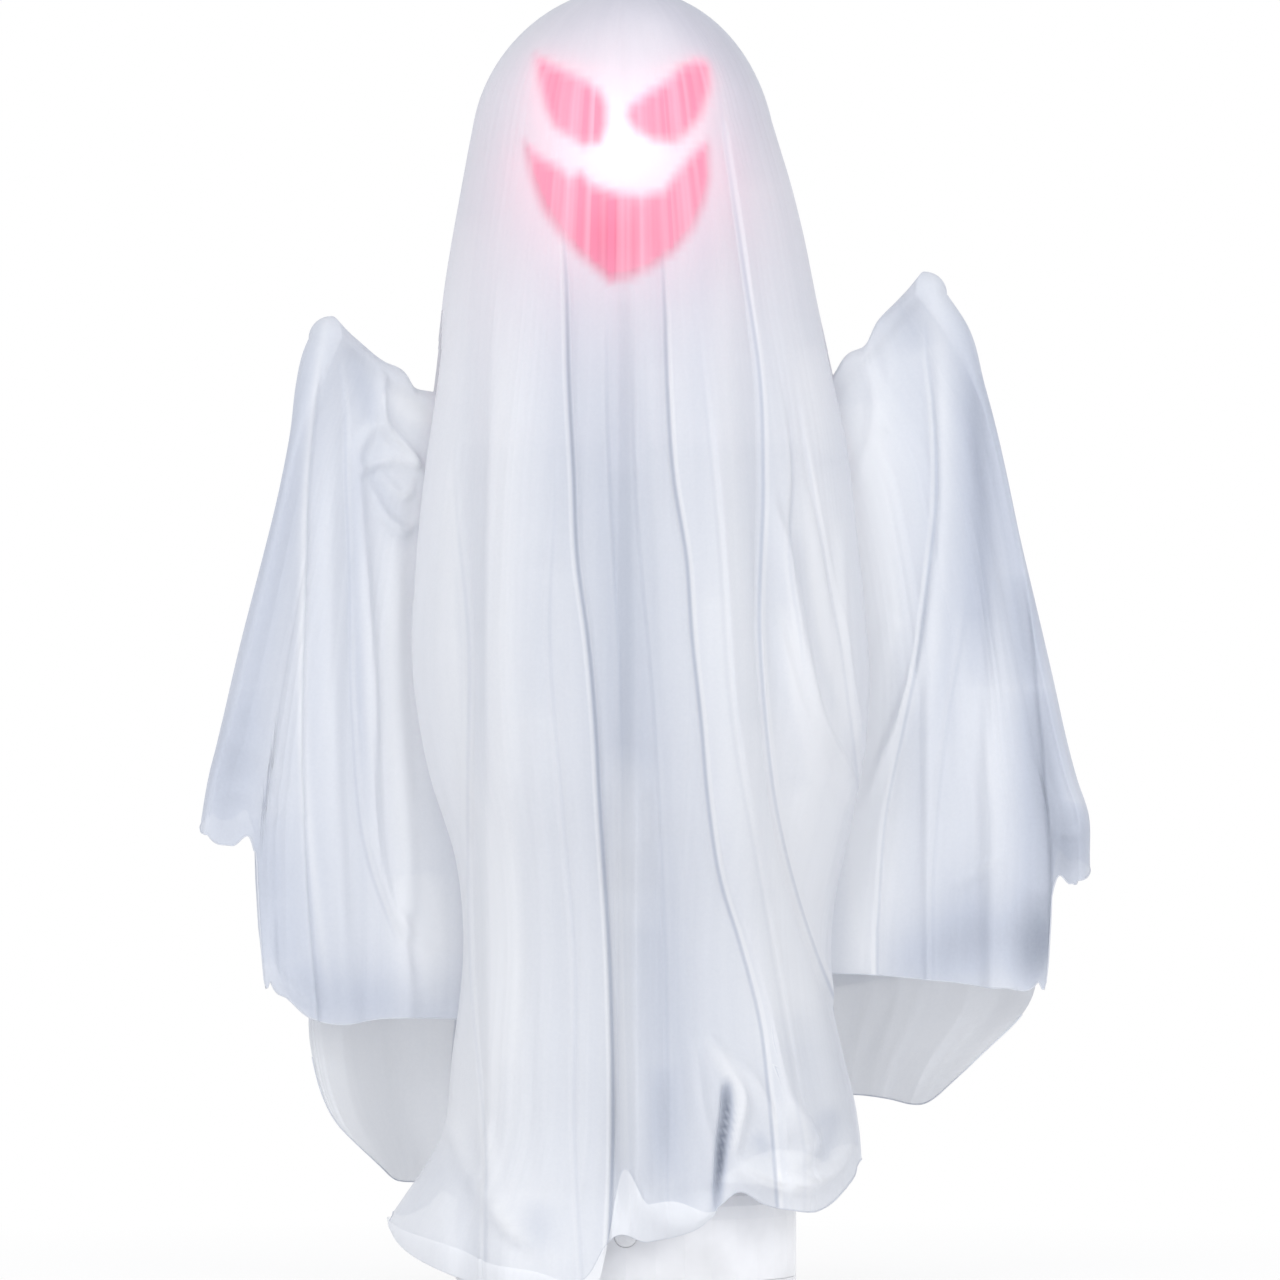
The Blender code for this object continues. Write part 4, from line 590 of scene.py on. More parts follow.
# %% The flaps of the arm cloths
def build_arm_cloth(plan):
    """The cap over rod and hand, and below it the front flap, the outer fold and the back flap."""
    way = 1 if plan["side"] == "right" else -1
    along, swing = arm_columns()
    cap, facing = arm_start(plan, along, swing)
    start = cap[-1]
    bottom = reach_of(plan, np.full(along.shape, 0.30), along)
    hems = table(way * bottom, [(way * p, v) for p, v in plan["hem"]])
    hems = hems + smooth(swing) * (0.012 + 0.006 * np.sin(9 * along))
    share = np.linspace(0, 1, FLAP_ROWS + 1)[1:, None]
    height = start[None, :, 2] + (hems - start[:, 2])[None] * share
    fallen = start[None, :, 2] - height
    wanted = reach_of(plan, height, along[None])
    first = reach_of(plan, start[:, 2], along)
    x = wanted + (start[:, 0] - first)[None] * (1 - ramp(fallen, 0, SETTLE))
    x = x + way * 0.008 * (np.sin(pi * swing) * (along == 1))[None] * ramp(fallen, 0, SETTLE)
    apart = -np.cos(pi * swing) * (0.006 + 0.018 * along)
    y = start[None, :, 1] * (1 - 0.25 * share) + apart[None] * share
    fan = np.linspace(0, 1, len(along))[None] + 0 * share
    seed = plan["seed"]
    soft = (0.0022 * noise(fan, share + 0 * fan, 10, 3, seed, False)
            + 0.0007 * pleats(fan, share + 0 * fan, 34, seed + 3, 0.95, 0.3))
    soft = soft * ramp(share, 0.0, 0.4) * (0.3 + 0.7 * ramp(along, 0.1, 0.4))[None]
    front = ((1 - smooth(swing * 2)) * ramp(along, 0.05, 0.3))[None]
    marked = folds_of(x, height, plan["laps"], plan["ridges"]) + rolls(x, height, plan["rolls"])
    behind = 0.007 * np.sin(15 * along + 0.8)[None] * share * smooth(swing)[None]
    moved = soft + marked * front + behind
    fall = np.stack([x, y, height], axis=-1) + moved[..., None] * facing[None]
    return np.concatenate([cap, fall])


FOOT_TOP = 0.335  # below this height an arm cloth is part of the skirt


def split_cloth(name, grid):
    """Two meshes of one cloth: the upper part under the arm, and the foot over the floor."""
    low = (grid[:-1, :-1, 2] + grid[1:, 1:, 2]) / 2 < FOOT_TOP
    return cloth_mesh(name, grid, gone=low), cloth_mesh(f"{name}_foot", grid, gone=~low)


arm_cloths, arm_feet = {}, {}
for plan in (LEFT_ARM, RIGHT_ARM):
    side = plan["side"]
    name = f"{side}_arm_cloth"
    grids[name] = build_arm_cloth(plan)
    arm_cloths[side], arm_feet[side] = split_cloth(name, grids[name])

# %% [markdown]
# ## Hems
# The lower edges are rolled thin, and the roll follows a path, so Geometry Nodes sweep it. At
# the left corner and in the middle, the front edge of the shroud is also folded up by about two
# centimetres. That strip lies just outside the cloth and looks denser, because the gauze is
# double there.

# %% The folded-up strip of the front hem
TURN_UP = ((-1.40, 0.0), (-1.15, 0.010), (-0.85, 0.018), (-0.55, 0.019), (-0.30, 0.013),
           (-0.22, 0.003), (-0.19, 0.0), (-0.07, 0.0), (-0.05, 0.022), (0.10, 0.026), (0.24, 0.022),
           (0.33, 0.008), (0.38, 0.0))
TURN_UP_ROWS = 8
TURN_UP_OFF = 0.0009


def build_turn_up(grid):
    """The strip follows the lowest part of each column of the shroud's grid."""
    turn = turns_of_shroud()
    picked = np.flatnonzero((turn > TURN_UP[0][0]) & (turn < TURN_UP[-1][0]))
    share = np.linspace(0, 1, TURN_UP_ROWS + 1)
    strip = []
    for column in picked:
        points = grid[::-1, column]
        rise = points[0, 2] + table(turn[column], TURN_UP) * share
        x, y = (np.interp(rise, points[:, 2], points[:, k]) for k in (0, 1))
        off = TURN_UP_OFF * (1 + 2.5 * share)
        strip.append(np.stack([x + off * np.sin(turn[column]), y - off * np.cos(turn[column]),
                               rise], axis=1))
    return cloth_mesh("shroud_turned_up_hem", np.stack(strip, axis=1)[::-1])


turn_up = build_turn_up(shroud_grid)

# %% Geometry Nodes: a thin roll along a line
def add_node(tree, kind, inputs=None, **settings):
    """A new node. Each of its inputs is joined to a socket or set to a value."""
    node = tree.nodes.new(kind)
    for key, value in settings.items():
        setattr(node, key, value)
    for key, value in (inputs or {}).items():
        if hasattr(value, "links"):
            tree.links.new(value, node.inputs[key])
        else:
            node.inputs[key].default_value = value
    return node


def hem_tree():
    tree = bpy.data.node_groups.new("rolled_hem", "GeometryNodeTree")
    for name, way, kind in (("Line", "INPUT", "Geometry"), ("Roll radius", "INPUT", "Float"),
                            ("Unevenness", "INPUT", "Float"), ("Gauze", "INPUT", "Material"),
                            ("Roll", "OUTPUT", "Geometry")):
        socket = tree.interface.new_socket(name, in_out=way, socket_type=f"NodeSocket{kind}")
        if kind == "Float":
            socket.default_value = {"Roll radius": 0.0008, "Unevenness": 0.5}[name]
    given = tree.nodes.new("NodeGroupInput").outputs
    path = add_node(tree, "GeometryNodeMeshToCurve", {"Mesh": given["Line"]})
    uneven = add_node(tree, "ShaderNodeTexNoise", {"Scale": 60.0})
    least = add_node(tree, "ShaderNodeMath", {0: 1.0, 1: given["Unevenness"]},
                     operation="SUBTRACT")
    share = add_node(tree, "ShaderNodeMapRange", {"Value": uneven.outputs["Fac"],
                                                  "To Min": least.outputs[0]})
    size = add_node(tree, "ShaderNodeMath", {0: share.outputs[0], 1: given["Roll radius"]},
                    operation="MULTIPLY")
    sized = add_node(tree, "GeometryNodeSetCurveRadius", {"Curve": path.outputs["Curve"],
                                                          "Radius": size.outputs[0]})
    ring = add_node(tree, "GeometryNodeCurvePrimitiveCircle", {"Resolution": 6, "Radius": 1.0})
    sweep = add_node(tree, "GeometryNodeCurveToMesh", {"Curve": sized.outputs["Curve"],
                                                       "Profile Curve": ring.outputs["Curve"]})
    if "Scale" in sweep.inputs:
        tree.links.new(size.outputs[0], sweep.inputs["Scale"])
    real = add_node(tree, "GeometryNodeRealizeInstances", {"Geometry": sweep.outputs["Mesh"]})
    paint = add_node(tree, "GeometryNodeSetMaterial", {"Geometry": real.outputs["Geometry"],
                                                       "Material": given["Gauze"]})
    add_node(tree, "NodeGroupOutput", {"Roll": paint.outputs["Geometry"]})
    return tree


def line_object(name, points, missing=(), wrap=False):
    mesh = bpy.data.meshes.new(name)
    count = len(points)
    edges = [(i, (i + 1) % count) for i in range(count if wrap else count - 1) if i not in missing]
    mesh.from_pydata(points.tolist(), [], edges)
    return add_object(name, mesh)


def sweep_hem(name, line, tree, material, radius):
    """The roll along a line, as a plain mesh with its material."""
    modifier = line.modifiers.new("roll", "NODES")
    modifier.node_group = tree
    named = {item.name: item.identifier for item in tree.interface.items_tree
             if item.in_out == "INPUT"}
    modifier[named["Roll radius"]] = radius
    modifier[named["Gauze"]] = material
    graph = bpy.context.evaluated_depsgraph_get()
    mesh = bpy.data.meshes.new_from_object(line.evaluated_get(graph))
    bpy.data.objects.remove(line)
    mesh.name = name
    mesh.shade_smooth()
    print(f"{name}: {len(mesh.polygons)} faces")
    return add_object(name, mesh)


hem_material = bpy.data.materials.new("hem_gauze")
roll_tree = hem_tree()
rolled = {}
for cloth, grid in grids.items():
    whole = cloth == "shroud_cloth"
    missing = set(np.flatnonzero(shroud_gone[-1])) if whole else ()
    line = line_object(f"{cloth}_line", grid[-1], missing, whole)
    rolled[cloth] = sweep_hem(f"{cloth}_hem", line, roll_tree, hem_material, 0.0007)

# %% [markdown]
# ## The glow of the face on the cloth
# Behind the cloth three lamps shine through pink lenses. What one sees is not the lenses but
# their light on the cloth: soft-edged patches, brightest in the middle. Each patch is written
# to an attribute of the mesh as a share from 0 to 1, from the distance to its outline.

# %% Outlines of the lit eyes and grin, as places across and up in millimetres
LEFT_EYE = milli(((-64, 868), (-50, 859), (-31, 850), (-18, 840), (-14, 832), (-14, 816),
    (-18, 805), (-30, 803), (-38, 808), (-50, 816), (-56, 829), (-60, 844)))
RIGHT_EYE = milli(((58, 862), (59, 844), (53, 825), (43, 812), (35, 805), (20, 807), (8, 813),
    (1, 822), (3, 830), (15, 839), (28, 847), (40, 860), (50, 863)))
GRIN = milli(((-72, 805), (-60, 794), (-47, 787), (-40, 780), (-32, 783), (-23, 774), (-8, 769),
    (11, 766), (27, 770), (38, 785), (48, 797), (58, 805), (59, 779), (55, 761), (47, 742),
    (35, 728), (16, 714), (0, 707), (-12, 706), (-20, 714), (-32, 724), (-47, 740), (-59, 758),
    (-67, 780)))
NEARER, VIEW_HEIGHT = 1.014, 0.454
GLOW_EDGE = 0.0055  # half the width of the soft edge
SPOTS = milli({  # place across and up, and reach across and up
    "core": (-6, 735, 26, 30),
    "white": (-2, 806, 46, 48),
    "halo": (-3, 800, 105, 105),
})


# %% Write the light of the face to the shroud
def signed_distance(x, z, outline):
    """Distance to an outline, positive inside."""
    points = np.array(outline)
    best = np.full(x.shape, 9.0)
    inside = np.zeros(x.shape, bool)
    for (x0, z0), (x1, z1) in zip(points, np.roll(points, -1, axis=0)):
        best = np.minimum(best, to_piece(x, z, (x0, z0), (x1, z1))[0])
        crosses = (z0 > z) != (z1 > z)
        rise = z1 - z0 if abs(z1 - z0) > 1e-9 else 1e-9
        inside ^= crosses & (x < x0 + (z - z0) * (x1 - x0) / rise)
    return np.where(inside, best, -best)


def points_of(made):
    co = np.zeros(len(made.data.vertices) * 3)
    made.data.vertices.foreach_get("co", co)
    return co.reshape(-1, 3).T


def patch(x, z, across, up, wide, high):
    """A round spot of light, 1 at its centre and soft all round."""
    return np.exp(-(((x - across) / wide) ** 2 + ((z - up) / high) ** 2))


def write_share(mesh, name, values):
    layer = mesh.attributes.new(name, "FLOAT", "POINT")
    layer.data.foreach_set("value", values.astype(np.float32))


def as_measured(x, z):
    """The front of the cloth is nearer to the lens than the mast, so it looks a little larger."""
    return x * NEARER, VIEW_HEIGHT + (z - VIEW_HEIGHT) * NEARER


def paint_glow(made):
    """The four shares of light: on eyes and grin, in the grin's middle, white, and all round."""
    x, y, z = points_of(made)
    front = ramp(-y, 0.005, 0.045)
    x, z = as_measured(x, z)
    pink = 0 * x
    for outline in (LEFT_EYE, RIGHT_EYE, GRIN):
        pink = np.maximum(pink, ramp(signed_distance(x, z, outline), -GLOW_EDGE, GLOW_EDGE))
    core, bright, halo = (patch(x, z, *spot) for spot in SPOTS.values())
    for name, values in (("face_light", pink * front), ("grin_core", core * pink * front),
                         ("white_glow", bright * front), ("halo", halo * (0.35 + 0.65 * front))):
        write_share(made.data, name, values)
        print(f"{made.name}: {name} up to {values.max():.2f}")


paint_glow(shroud)

# %% [markdown]
# ## Light and dark of the gauze
# One layer of gauze looks darker and bluer than two, and the tone of each point says how light
# the cloth is there: 1 like two layers, 0 like one, and -1 like a deep shade. It comes from the
# relief of the folds, which paints shade into the valleys and light onto the ridges, and from soft
# strokes. Some strokes stand where the cloth lies double or single. Others were set by comparing
# the render with the photograph: they are painted shade of folds that are too shallow to model,
# and painted light that lifts the shade along the sides of the shroud and on the arm cloths.

# %% Strokes that lighten (above zero) or darken (below zero): layers, painted light and shade
SHROUD_LAYER_AND_SHADING_STROKES = milli((
    (((-15.5, 800), (-15.5, 664), (-12, 558), (-5, 453), (2, 347), (16, 241), (28, 150), (32, 60)),
     -300, 25),
    (((-82.5, 700), (-88, 488), (-82.5, 276), (-72, 100)), 220, 10),
    (((-121, 580), (-121, 417), (-118, 241), (-119, 130)), 160, 5),
    (((56, 720), (69, 558), (90, 431), (115, 319), (136, 220), (152, 100)), 220, 15),
    (((120, 680), (136, 523), (129, 453), (115, 360)), 220, 18),
    (((-145, 60), (-104, 93), (-82, 65), (-40, 20)), 100, 20),
    (((108, 480), (122, 415), (142, 362), (158, 335)), 340, 5.5),
    (((118, 530), (132, 450), (146, 400)), -240, 6),
    (((-150, 560), (-156, 450), (-145, 340)), 200, 12),
    # A narrow stroke of painted deep shade in the opening of the bunched cloth at the lower right
    (((70.5, 150), (70, 125), (66.3, 101), (62, 55)), -1600, 3.6),
    (((-112, 750), (-124, 640), (-134, 500), (-134, 380), (-116, 280), (-112, 180), (-116, 80)),
     480, 24),
    (((-124, 360), (-112, 280), (-110, 180), (-118, 90)), 260, 18),
    (((134, 350), (122, 270), (116, 190)), 250, 20),
    (((136, 580), (148, 450), (138, 350), (122, 270), (118, 170)), 420, 24),
    (((-4, 380), (-3, 280), (-2, 90)), 360, 11),
    (((-45, 720), (-47, 600), (-52, 500)), -260, 20),
    (((54, 840), (53, 650), (60, 480)), -360, 12),
    (((-60, 520), (-62, 400)), -160, 16),
    (((0, 735), (24, 720), (26, 640)), -240, 14),
    (((130, 660), (140, 580)), 250, 14),
    (((-128, 460), (-118, 330), (-108, 220), (-116, 100)), 250, 22),
    (((10, 370), (12, 250)), 220, 16),
    (((85, 400), (98, 280)), 180, 16),
    (((-61, 66), (-61, 30)), -400, 14),
    (((-60, 880), (10, 905), (50, 885), (80, 840), (88, 770)), -460, 20),
    (((25, 160), (27, 80)), -340, 10),
    (((88, 112), (100, 98)), -400, 6),
    (((128, 110), (144, 120), (136, 92)), -360, 7),
    (((60, 170), (78, 140), (76, 100)), 300, 6),
))
# On the arm cloths the strokes mark layers, painted shade, and painted light that lifts the shade
# beside the shroud
ARM_LAYER_AND_SHADING_STROKES = milli({
    "left": (
        (((-222, 680), (-237.6, 594), (-252, 488), (-273, 375), (-290, 290)), -460, 17),
        (((-208, 690), (-221.4, 594), (-226, 488), (-225, 347), (-206, 190)), 420, 3.5),
        (((-200, 600), (-206, 417), (-193, 250)), 100, 9),
        (((-138, 700), (-148, 537), (-156, 438), (-150, 319), (-130, 200)), 500, 26),
        (((-262, 330), (-250, 235), (-215, 205), (-160, 198), (-80, 213)), -550, 28),
        (((-192, 660), (-178, 605)), -340, 9),
        (((-170, 628), (-152, 616), (-130, 608)), 340, 9),
        (((-180, 585), (-166, 545), (-150, 520)), -280, 10),
        (((-189, 600), (-190, 500), (-186, 400), (-180, 320)), -340, 5),
        (((-290, 400), (-262, 300), (-236, 230)), -250, 26),
        (((-146, 290), (-136, 190)), 420, 20),
        (((-262, 420), (-246, 270)), -180, 20),
    ),
    "right": (
        (((150, 690), (172, 600), (176, 500), (186, 400)), 360, 22),
        (((238, 720), (246, 600), (249, 520), (247, 420)), -500, 13),
        (((214, 720), (224, 594), (221, 488), (208, 390)), 260, 6),
        (((251, 470), (250, 375), (240, 290)), 260, 19),
        (((250, 640), (275, 500), (291, 382), (306, 290)), -420, 11),
        (((318, 340), (306, 265)), -600, 14),
        (((176, 222), (210, 230), (250, 245), (330, 235)), -620, 30),
        (((302, 275), (284, 205)), -450, 18),
        (((190, 465), (186, 395)), -200, 10),
        (((156, 620), (166, 520), (174, 420), (176, 320), (174, 200)), 620, 24),
        (((284, 420), (290, 310), (284, 200)), -600, 22),
        (((222, 600), (223, 480), (219, 380)), -180, 12),
        (((190, 692), (206, 656)), -250, 14),
        (((166, 420), (166, 210)), 350, 16),
        (((276, 500), (280, 420)), -250, 16),
    ),
})
PAINTED_SHADING_RELIEF = 0.055  # the relief that changes the tone by 1
TONE_PLAIN = {"shroud": 0.60, "arm": 0.47}


# %% Write the tone, with its painted shade and light, and the distance to the nearest fold line
def paint_layers_and_shading(made, plan, layer_and_shading_strokes, plain):
    """plan has the laps, ridges and rolls of the cloth."""
    x, y, z = points_of(made)
    # The relief of the ridges and rolls is painted into the tone: shade in the valleys, light on
    # the ridges
    relief = folds_of(x, z, (), plan["ridges"]) + rolls(x, z, plan["rolls"])
    seen = ramp(-y, -0.01, 0.02)
    tone = plain + (relief / PAINTED_SHADING_RELIEF + rolls(x, z, layer_and_shading_strokes)) * seen
    write_share(made.data, "tone", np.clip(tone, -1, 1))
    nearest, strength = np.full(x.shape, 1.0), 0 * x
    for track, over, rise, _, _, *span in plan["laps"]:
        off = off_track(x, z, track, over)
        power = grown_at(z, *span) * min(rise / 0.0040, 1) ** 1.5
        closer = (np.abs(off) < np.abs(nearest)) & (power > 0.02)
        nearest = np.where(closer, off, nearest)
        strength = np.where(closer, power, strength)
    strength = strength * (1 - ramp(np.abs(nearest), 0.0045, 0.0070))
    write_share(made.data, "fold_off", nearest)
    write_share(made.data, "fold_line", strength * seen)
    print(f"{made.name}: tone from {tone.min():.2f} to {tone.max():.2f}")


paint_layers_and_shading(shroud, {"laps": SHROUD_LAPS, "ridges": SHROUD_RIDGES, "rolls": SWAG + BUNCHED},
           SHROUD_LAYER_AND_SHADING_STROKES, TONE_PLAIN["shroud"])
for plan in (LEFT_ARM, RIGHT_ARM):
    for made in (arm_cloths[plan["side"]], arm_feet[plan["side"]]):
        paint_layers_and_shading(made, plan, ARM_LAYER_AND_SHADING_STROKES[plan["side"]], TONE_PLAIN["arm"])

# %% [markdown]
# ## The cloth material
# The cloth is a fine, silky gauze: white with a cool cast, a little light passes through, and it
# has a soft sheen along its folds. The weave is drawn on the UV map in metres, so a thread is
# the same width all over. Broad noise keeps the white from being one flat colour.

# %% A small helper to write node trees
class Tree:
    """Adds nodes to a material, or to a world, and joins them."""

    def __init__(self, name, owner=None, out="OutputMaterial"):
        self.owner = owner or bpy.data.materials.new(name)
        self.owner.use_nodes = True
        self.owner.node_tree.nodes.clear()
        self.out = out

    def add(self, kind, inputs=None, **settings):
        return add_node(self.owner.node_tree, f"ShaderNode{kind}", inputs, **settings)

    def finish(self, shader):
        """Joins the last shader to the output and gives back the material or the world."""
        self.add(self.out, {"Surface": shader.outputs[0]})
        return self.owner

    def painted(self, name):
        """The share that was written to the points of the mesh under this name."""
        return self.add("Attribute", attribute_name=name).outputs["Fac"]

    def math(self, how, first, second=0.0, third=0.0):
        return self.add("Math", {0: first, 1: second, 2: third}, operation=how).outputs[0]

    def mix(self, share, first, second):
        return self.add("Mix", {0: share, 6: first, 7: second}, data_type="RGBA").outputs[2]

    def coords(self, how="Object", scale=None):
        place = self.add("TexCoord").outputs[how]
        if scale is None:
            return place
        return self.add("Mapping", {"Vector": place, "Scale": scale}).outputs[0]

    def noise(self, vector, scale, detail=3.0, rough=0.5):
        return self.add("TexNoise", {"Vector": vector, "Scale": scale, "Detail": detail,
                                     "Roughness": rough}).outputs["Fac"]

    def band(self, value, low, high, to_low=0.0, to_high=1.0):
        return self.add("MapRange", {"Value": value, "From Min": low, "From Max": high,
                                     "To Min": to_low, "To Max": to_high}).outputs[0]


# %% The gauze, with or without the light of the face
SHADE = (0.26, 0.29, 0.36, 1)
SINGLE = (0.62, 0.655, 0.735, 1)
DOUBLE = (0.936, 0.945, 0.963, 1)
FACE_PINK = (0.74, 0.31, 0.42, 1)
DEEP_PINK = (0.69, 0.16, 0.27, 1)
HALO_LILAC = (0.86, 0.75, 0.82, 1)
LIT_FOLD = (0.96, 0.70, 0.79, 1)
DIM_FOLD = (0.86, 0.27, 0.42, 1)
THREADS = 520.0  # scale of the weave
THROUGH = 0.32  # share of what one sees that is light from behind
# A light line where the cloth turns under and lies double, and a dark line of painted shade in
# the crease, run beside the edge of each lap. For each: how far from the edge its middle lies,
# how far it reaches from there, and how much it changes the tone
FOLD_LINES = ((-0.0019, 0.0022, 0.30), (0.0010, 0.0020, -0.60))
LINE_FADE = 0.0016


def gauze(name, lit=False, tone=None, clear=0.10, material=None):
    """Fine silky cloth. clear is the share of light that goes straight through. Without a tone
    of its own the cloth takes the tone that is written on its points."""
    tree = Tree(name, material)
    weave = tree.math("ADD", *(
        tree.add("TexWave", {"Vector": tree.coords("UV"), "Scale": THREADS, "Distortion": 0.6},
                 bands_direction=way).outputs["Fac"] for way in "XY"))
    streaks = tree.noise(tree.coords("UV", (150.0, 3.0, 1.0)), 1.0, 3.0, 0.55)
    bands = tree.noise(tree.coords("UV", (24.0, 1.2, 1.0)), 1.0, 2.0, 0.5)
    grain = tree.noise(tree.coords("Object"), 420.0, 2.0)
    if tone is None:
        tone = tree.painted("tone")
    for pattern, most in ((bands, 0.045), (streaks, 0.025), (grain, 0.03)):
        tone = tree.math("ADD", tone, tree.band(pattern, 0.3, 0.7, -most, most))
    off, strength = tree.painted("fold_off"), tree.painted("fold_line")
    for place, reach, change in FOLD_LINES:
        beside = tree.math("ABSOLUTE", tree.math("SUBTRACT", off, place))
        drawn = tree.math("MULTIPLY", tree.band(beside, reach, reach - LINE_FADE), strength)
        tone = tree.math("ADD", tone, tree.math("MULTIPLY", drawn, change))
    # Below zero the tone sinks towards SHADE as painted shade; above zero it rises towards DOUBLE,
    # for double layers and painted light
    shade = tree.mix(tree.band(tone, -1.0, 0.0), SHADE, SINGLE)
    white = tree.mix(tree.band(tone, 0.0, 1.0), shade, DOUBLE)
    glow, power = (1, 1, 1, 1), 0.0
    if lit:
        white, glow, power = light_of_face(tree, white)
    height = tree.math("MULTIPLY", streaks, 0.3)
    height = tree.math("ADD", tree.math("MULTIPLY", weave, 0.4), height)
    bump = tree.add("Bump", {"Strength": 0.16, "Distance": 0.0004, "Height": height})
    surface = tree.add("BsdfPrincipled", {
        "Base Color": white, "Roughness": 0.62, "Sheen Weight": 0.12, "Sheen Roughness": 0.4,
        "Specular IOR Level": 0.35, "Normal": bump.outputs[0], "Emission Color": glow,
        "Emission Strength": power})
    through = tree.add("BsdfTranslucent", {"Color": white, "Normal": bump.outputs[0]})
    both = tree.add("MixShader", {0: THROUGH, 1: surface.outputs[0], 2: through.outputs[0]})
    open_share = tree.band(bands, 0.3, 0.7, clear * 1.15, clear * 0.85)
    return tree.finish(tree.add("MixShader", {0: open_share, 1: both.outputs[0],
                                              2: tree.add("BsdfTransparent").outputs[0]}))


def light_of_face(tree, white):
    """Colour of the cloth, colour of its glow and strength of its glow, by the light on it."""
    face, core = tree.painted("face_light"), tree.painted("grin_core")
    lilac = tree.mix(tree.math("MULTIPLY", tree.painted("halo"), 0.8), white, HALO_LILAC)
    pink = tree.mix(core, FACE_PINK, DEEP_PINK)
    folds = tree.noise(tree.coords("UV", (62.0, 1.0, 1.0)), 1.0, 2.0, 0.6)
    pink = tree.mix(tree.band(folds, 0.42, 0.66, 0.0, 0.50), pink, LIT_FOLD)
    pink = tree.mix(tree.band(folds, 0.30, 0.42, 0.45, 0.0), pink, DIM_FOLD)
    colour = tree.mix(tree.math("MULTIPLY", face, 0.90), lilac, pink)
    glow = tree.mix(face, (1.0, 0.97, 0.98, 1), pink)
    dim = tree.math("SUBTRACT", 1.0, tree.math("MULTIPLY", face, 0.90))
    power = tree.math("MULTIPLY", tree.math("MULTIPLY", tree.painted("white_glow"), 0.50), dim)
    return colour, glow, tree.math("ADD", power, tree.math("MULTIPLY", face, 0.05))


shroud.data.materials.append(gauze("gauze_with_face_light", lit=True))
gauze("hem_gauze", tone=0.55, clear=0.05, material=hem_material)
thin_gauze = {"cape": gauze("gauze_of_cape", tone=0.84, clear=0.08),
              "arm": gauze("gauze_of_arms", clear=0.10)}
for made in capes.values():
    made.data.materials.append(thin_gauze["cape"])
for made in (*arm_cloths.values(), *arm_feet.values()):
    made.data.materials.append(thin_gauze["arm"])
turn_up.data.materials.append(gauze("gauze_of_turned_up_hem", tone=1.0, clear=0.20))

# %% [markdown]
# ## The cloth pieces and their hems
# On the figure, when the mast sinks, the head comes down and the hem stays on the floor, so the
# shroud and the cape bend between base and mast, and an arm cloth bends between the mast and its
# arm. Here each cloth is listed with its hems, its placement is applied to its points, and the
# cloth parts of model.glb are hidden.

# %% Apply the placements of the cloths and their hems, and hide the cloth parts of model.glb
on_cloth = {made.name: [rolled[made.name]] for made in (shroud, *capes.values())}
on_cloth["shroud_cloth"].append(turn_up)
for made in (shroud, *capes.values()):
    for piece in (made, *on_cloth[made.name]):
        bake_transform(piece)
for side, made in arm_cloths.items():
    on_cloth[made.name] = [arm_feet[side], rolled[made.name]]
    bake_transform(made)
    for piece in on_cloth[made.name]:
        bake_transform(piece)
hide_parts("head_shroud")
for made in capes.values():
    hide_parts("back_cape")
for side in ("left", "right"):
    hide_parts(f"{side}_arm_drape")
    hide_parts(f"{side}_arm_drape")


# %% [markdown]
# ## Finishes of the working parts
# The base, mast and gears are moulded plastic, drawn tube and small metal parts. Each finish is
# a procedural material on Object coordinates: fine grain for moulded plastic, draw lines along
# the tubes, and a slight change of colour so that no face is one flat tone.

# %% Finishes
def plastic(name, colour, rough, grain=900.0):
    """Moulded plastic or rubber, with a fine grain."""
    tree = Tree(name)
    place = tree.coords("Object")
    spread = tree.noise(place, 14.0, 4.0)
    lighter = tuple(min(c * 1.25 + 0.01, 1) for c in colour[:3]) + (1,)
    tone = tree.mix(tree.band(spread, 0.35, 0.7), (*colour, 1), lighter)
    speck = tree.noise(place, grain, 2.0)
    bump = tree.add("Bump", {"Strength": 0.12, "Distance": 0.0002, "Height": speck})
    gloss = tree.band(tree.noise(place, 60.0, 3.0), 0.3, 0.7, rough - 0.05, rough + 0.07)
    return tree.finish(tree.add("BsdfPrincipled", {"Base Color": tone, "Roughness": gloss,
                                                   "Normal": bump.outputs[0]}))


def metal(name, colour, rough, stretch=(60.0, 60.0, 1.5)):
    """Metal with draw lines. stretch makes them long, or with three equal numbers a plain grain."""
    tree = Tree(name)
    lines = tree.noise(tree.coords("Object", stretch), 12.0, 4.0, 0.6)
    darker = tuple(c * 0.82 for c in colour) + (1,)
    tone = tree.mix(tree.band(lines, 0.3, 0.7), (*colour, 1), darker)
    gloss = tree.band(lines, 0.3, 0.7, rough - 0.06, rough + 0.08)
    bump = tree.add("Bump", {"Strength": 0.08, "Distance": 0.0001, "Height": lines})
    return tree.finish(tree.add("BsdfPrincipled", {"Base Color": tone, "Roughness": gloss,
                                                   "Metallic": 1.0, "Normal": bump.outputs[0]}))


def glowing(name, colour, strength):
    """A lens or a lamp that gives light of its own."""
    tree = Tree(name)
    place = tree.coords("Object")
    ripple = tree.noise(place, 120.0, 2.0)
    bump = tree.add("Bump", {"Strength": 0.15, "Distance": 0.0003, "Height": ripple})
    power = tree.band(tree.noise(place, 30.0, 2.0), 0.3, 0.7, strength * 0.85, strength)
    return tree.finish(tree.add("BsdfPrincipled", {
        "Base Color": (*colour, 1), "Roughness": 0.2, "Normal": bump.outputs[0],
        "Emission Color": (*colour, 1), "Emission Strength": power}))


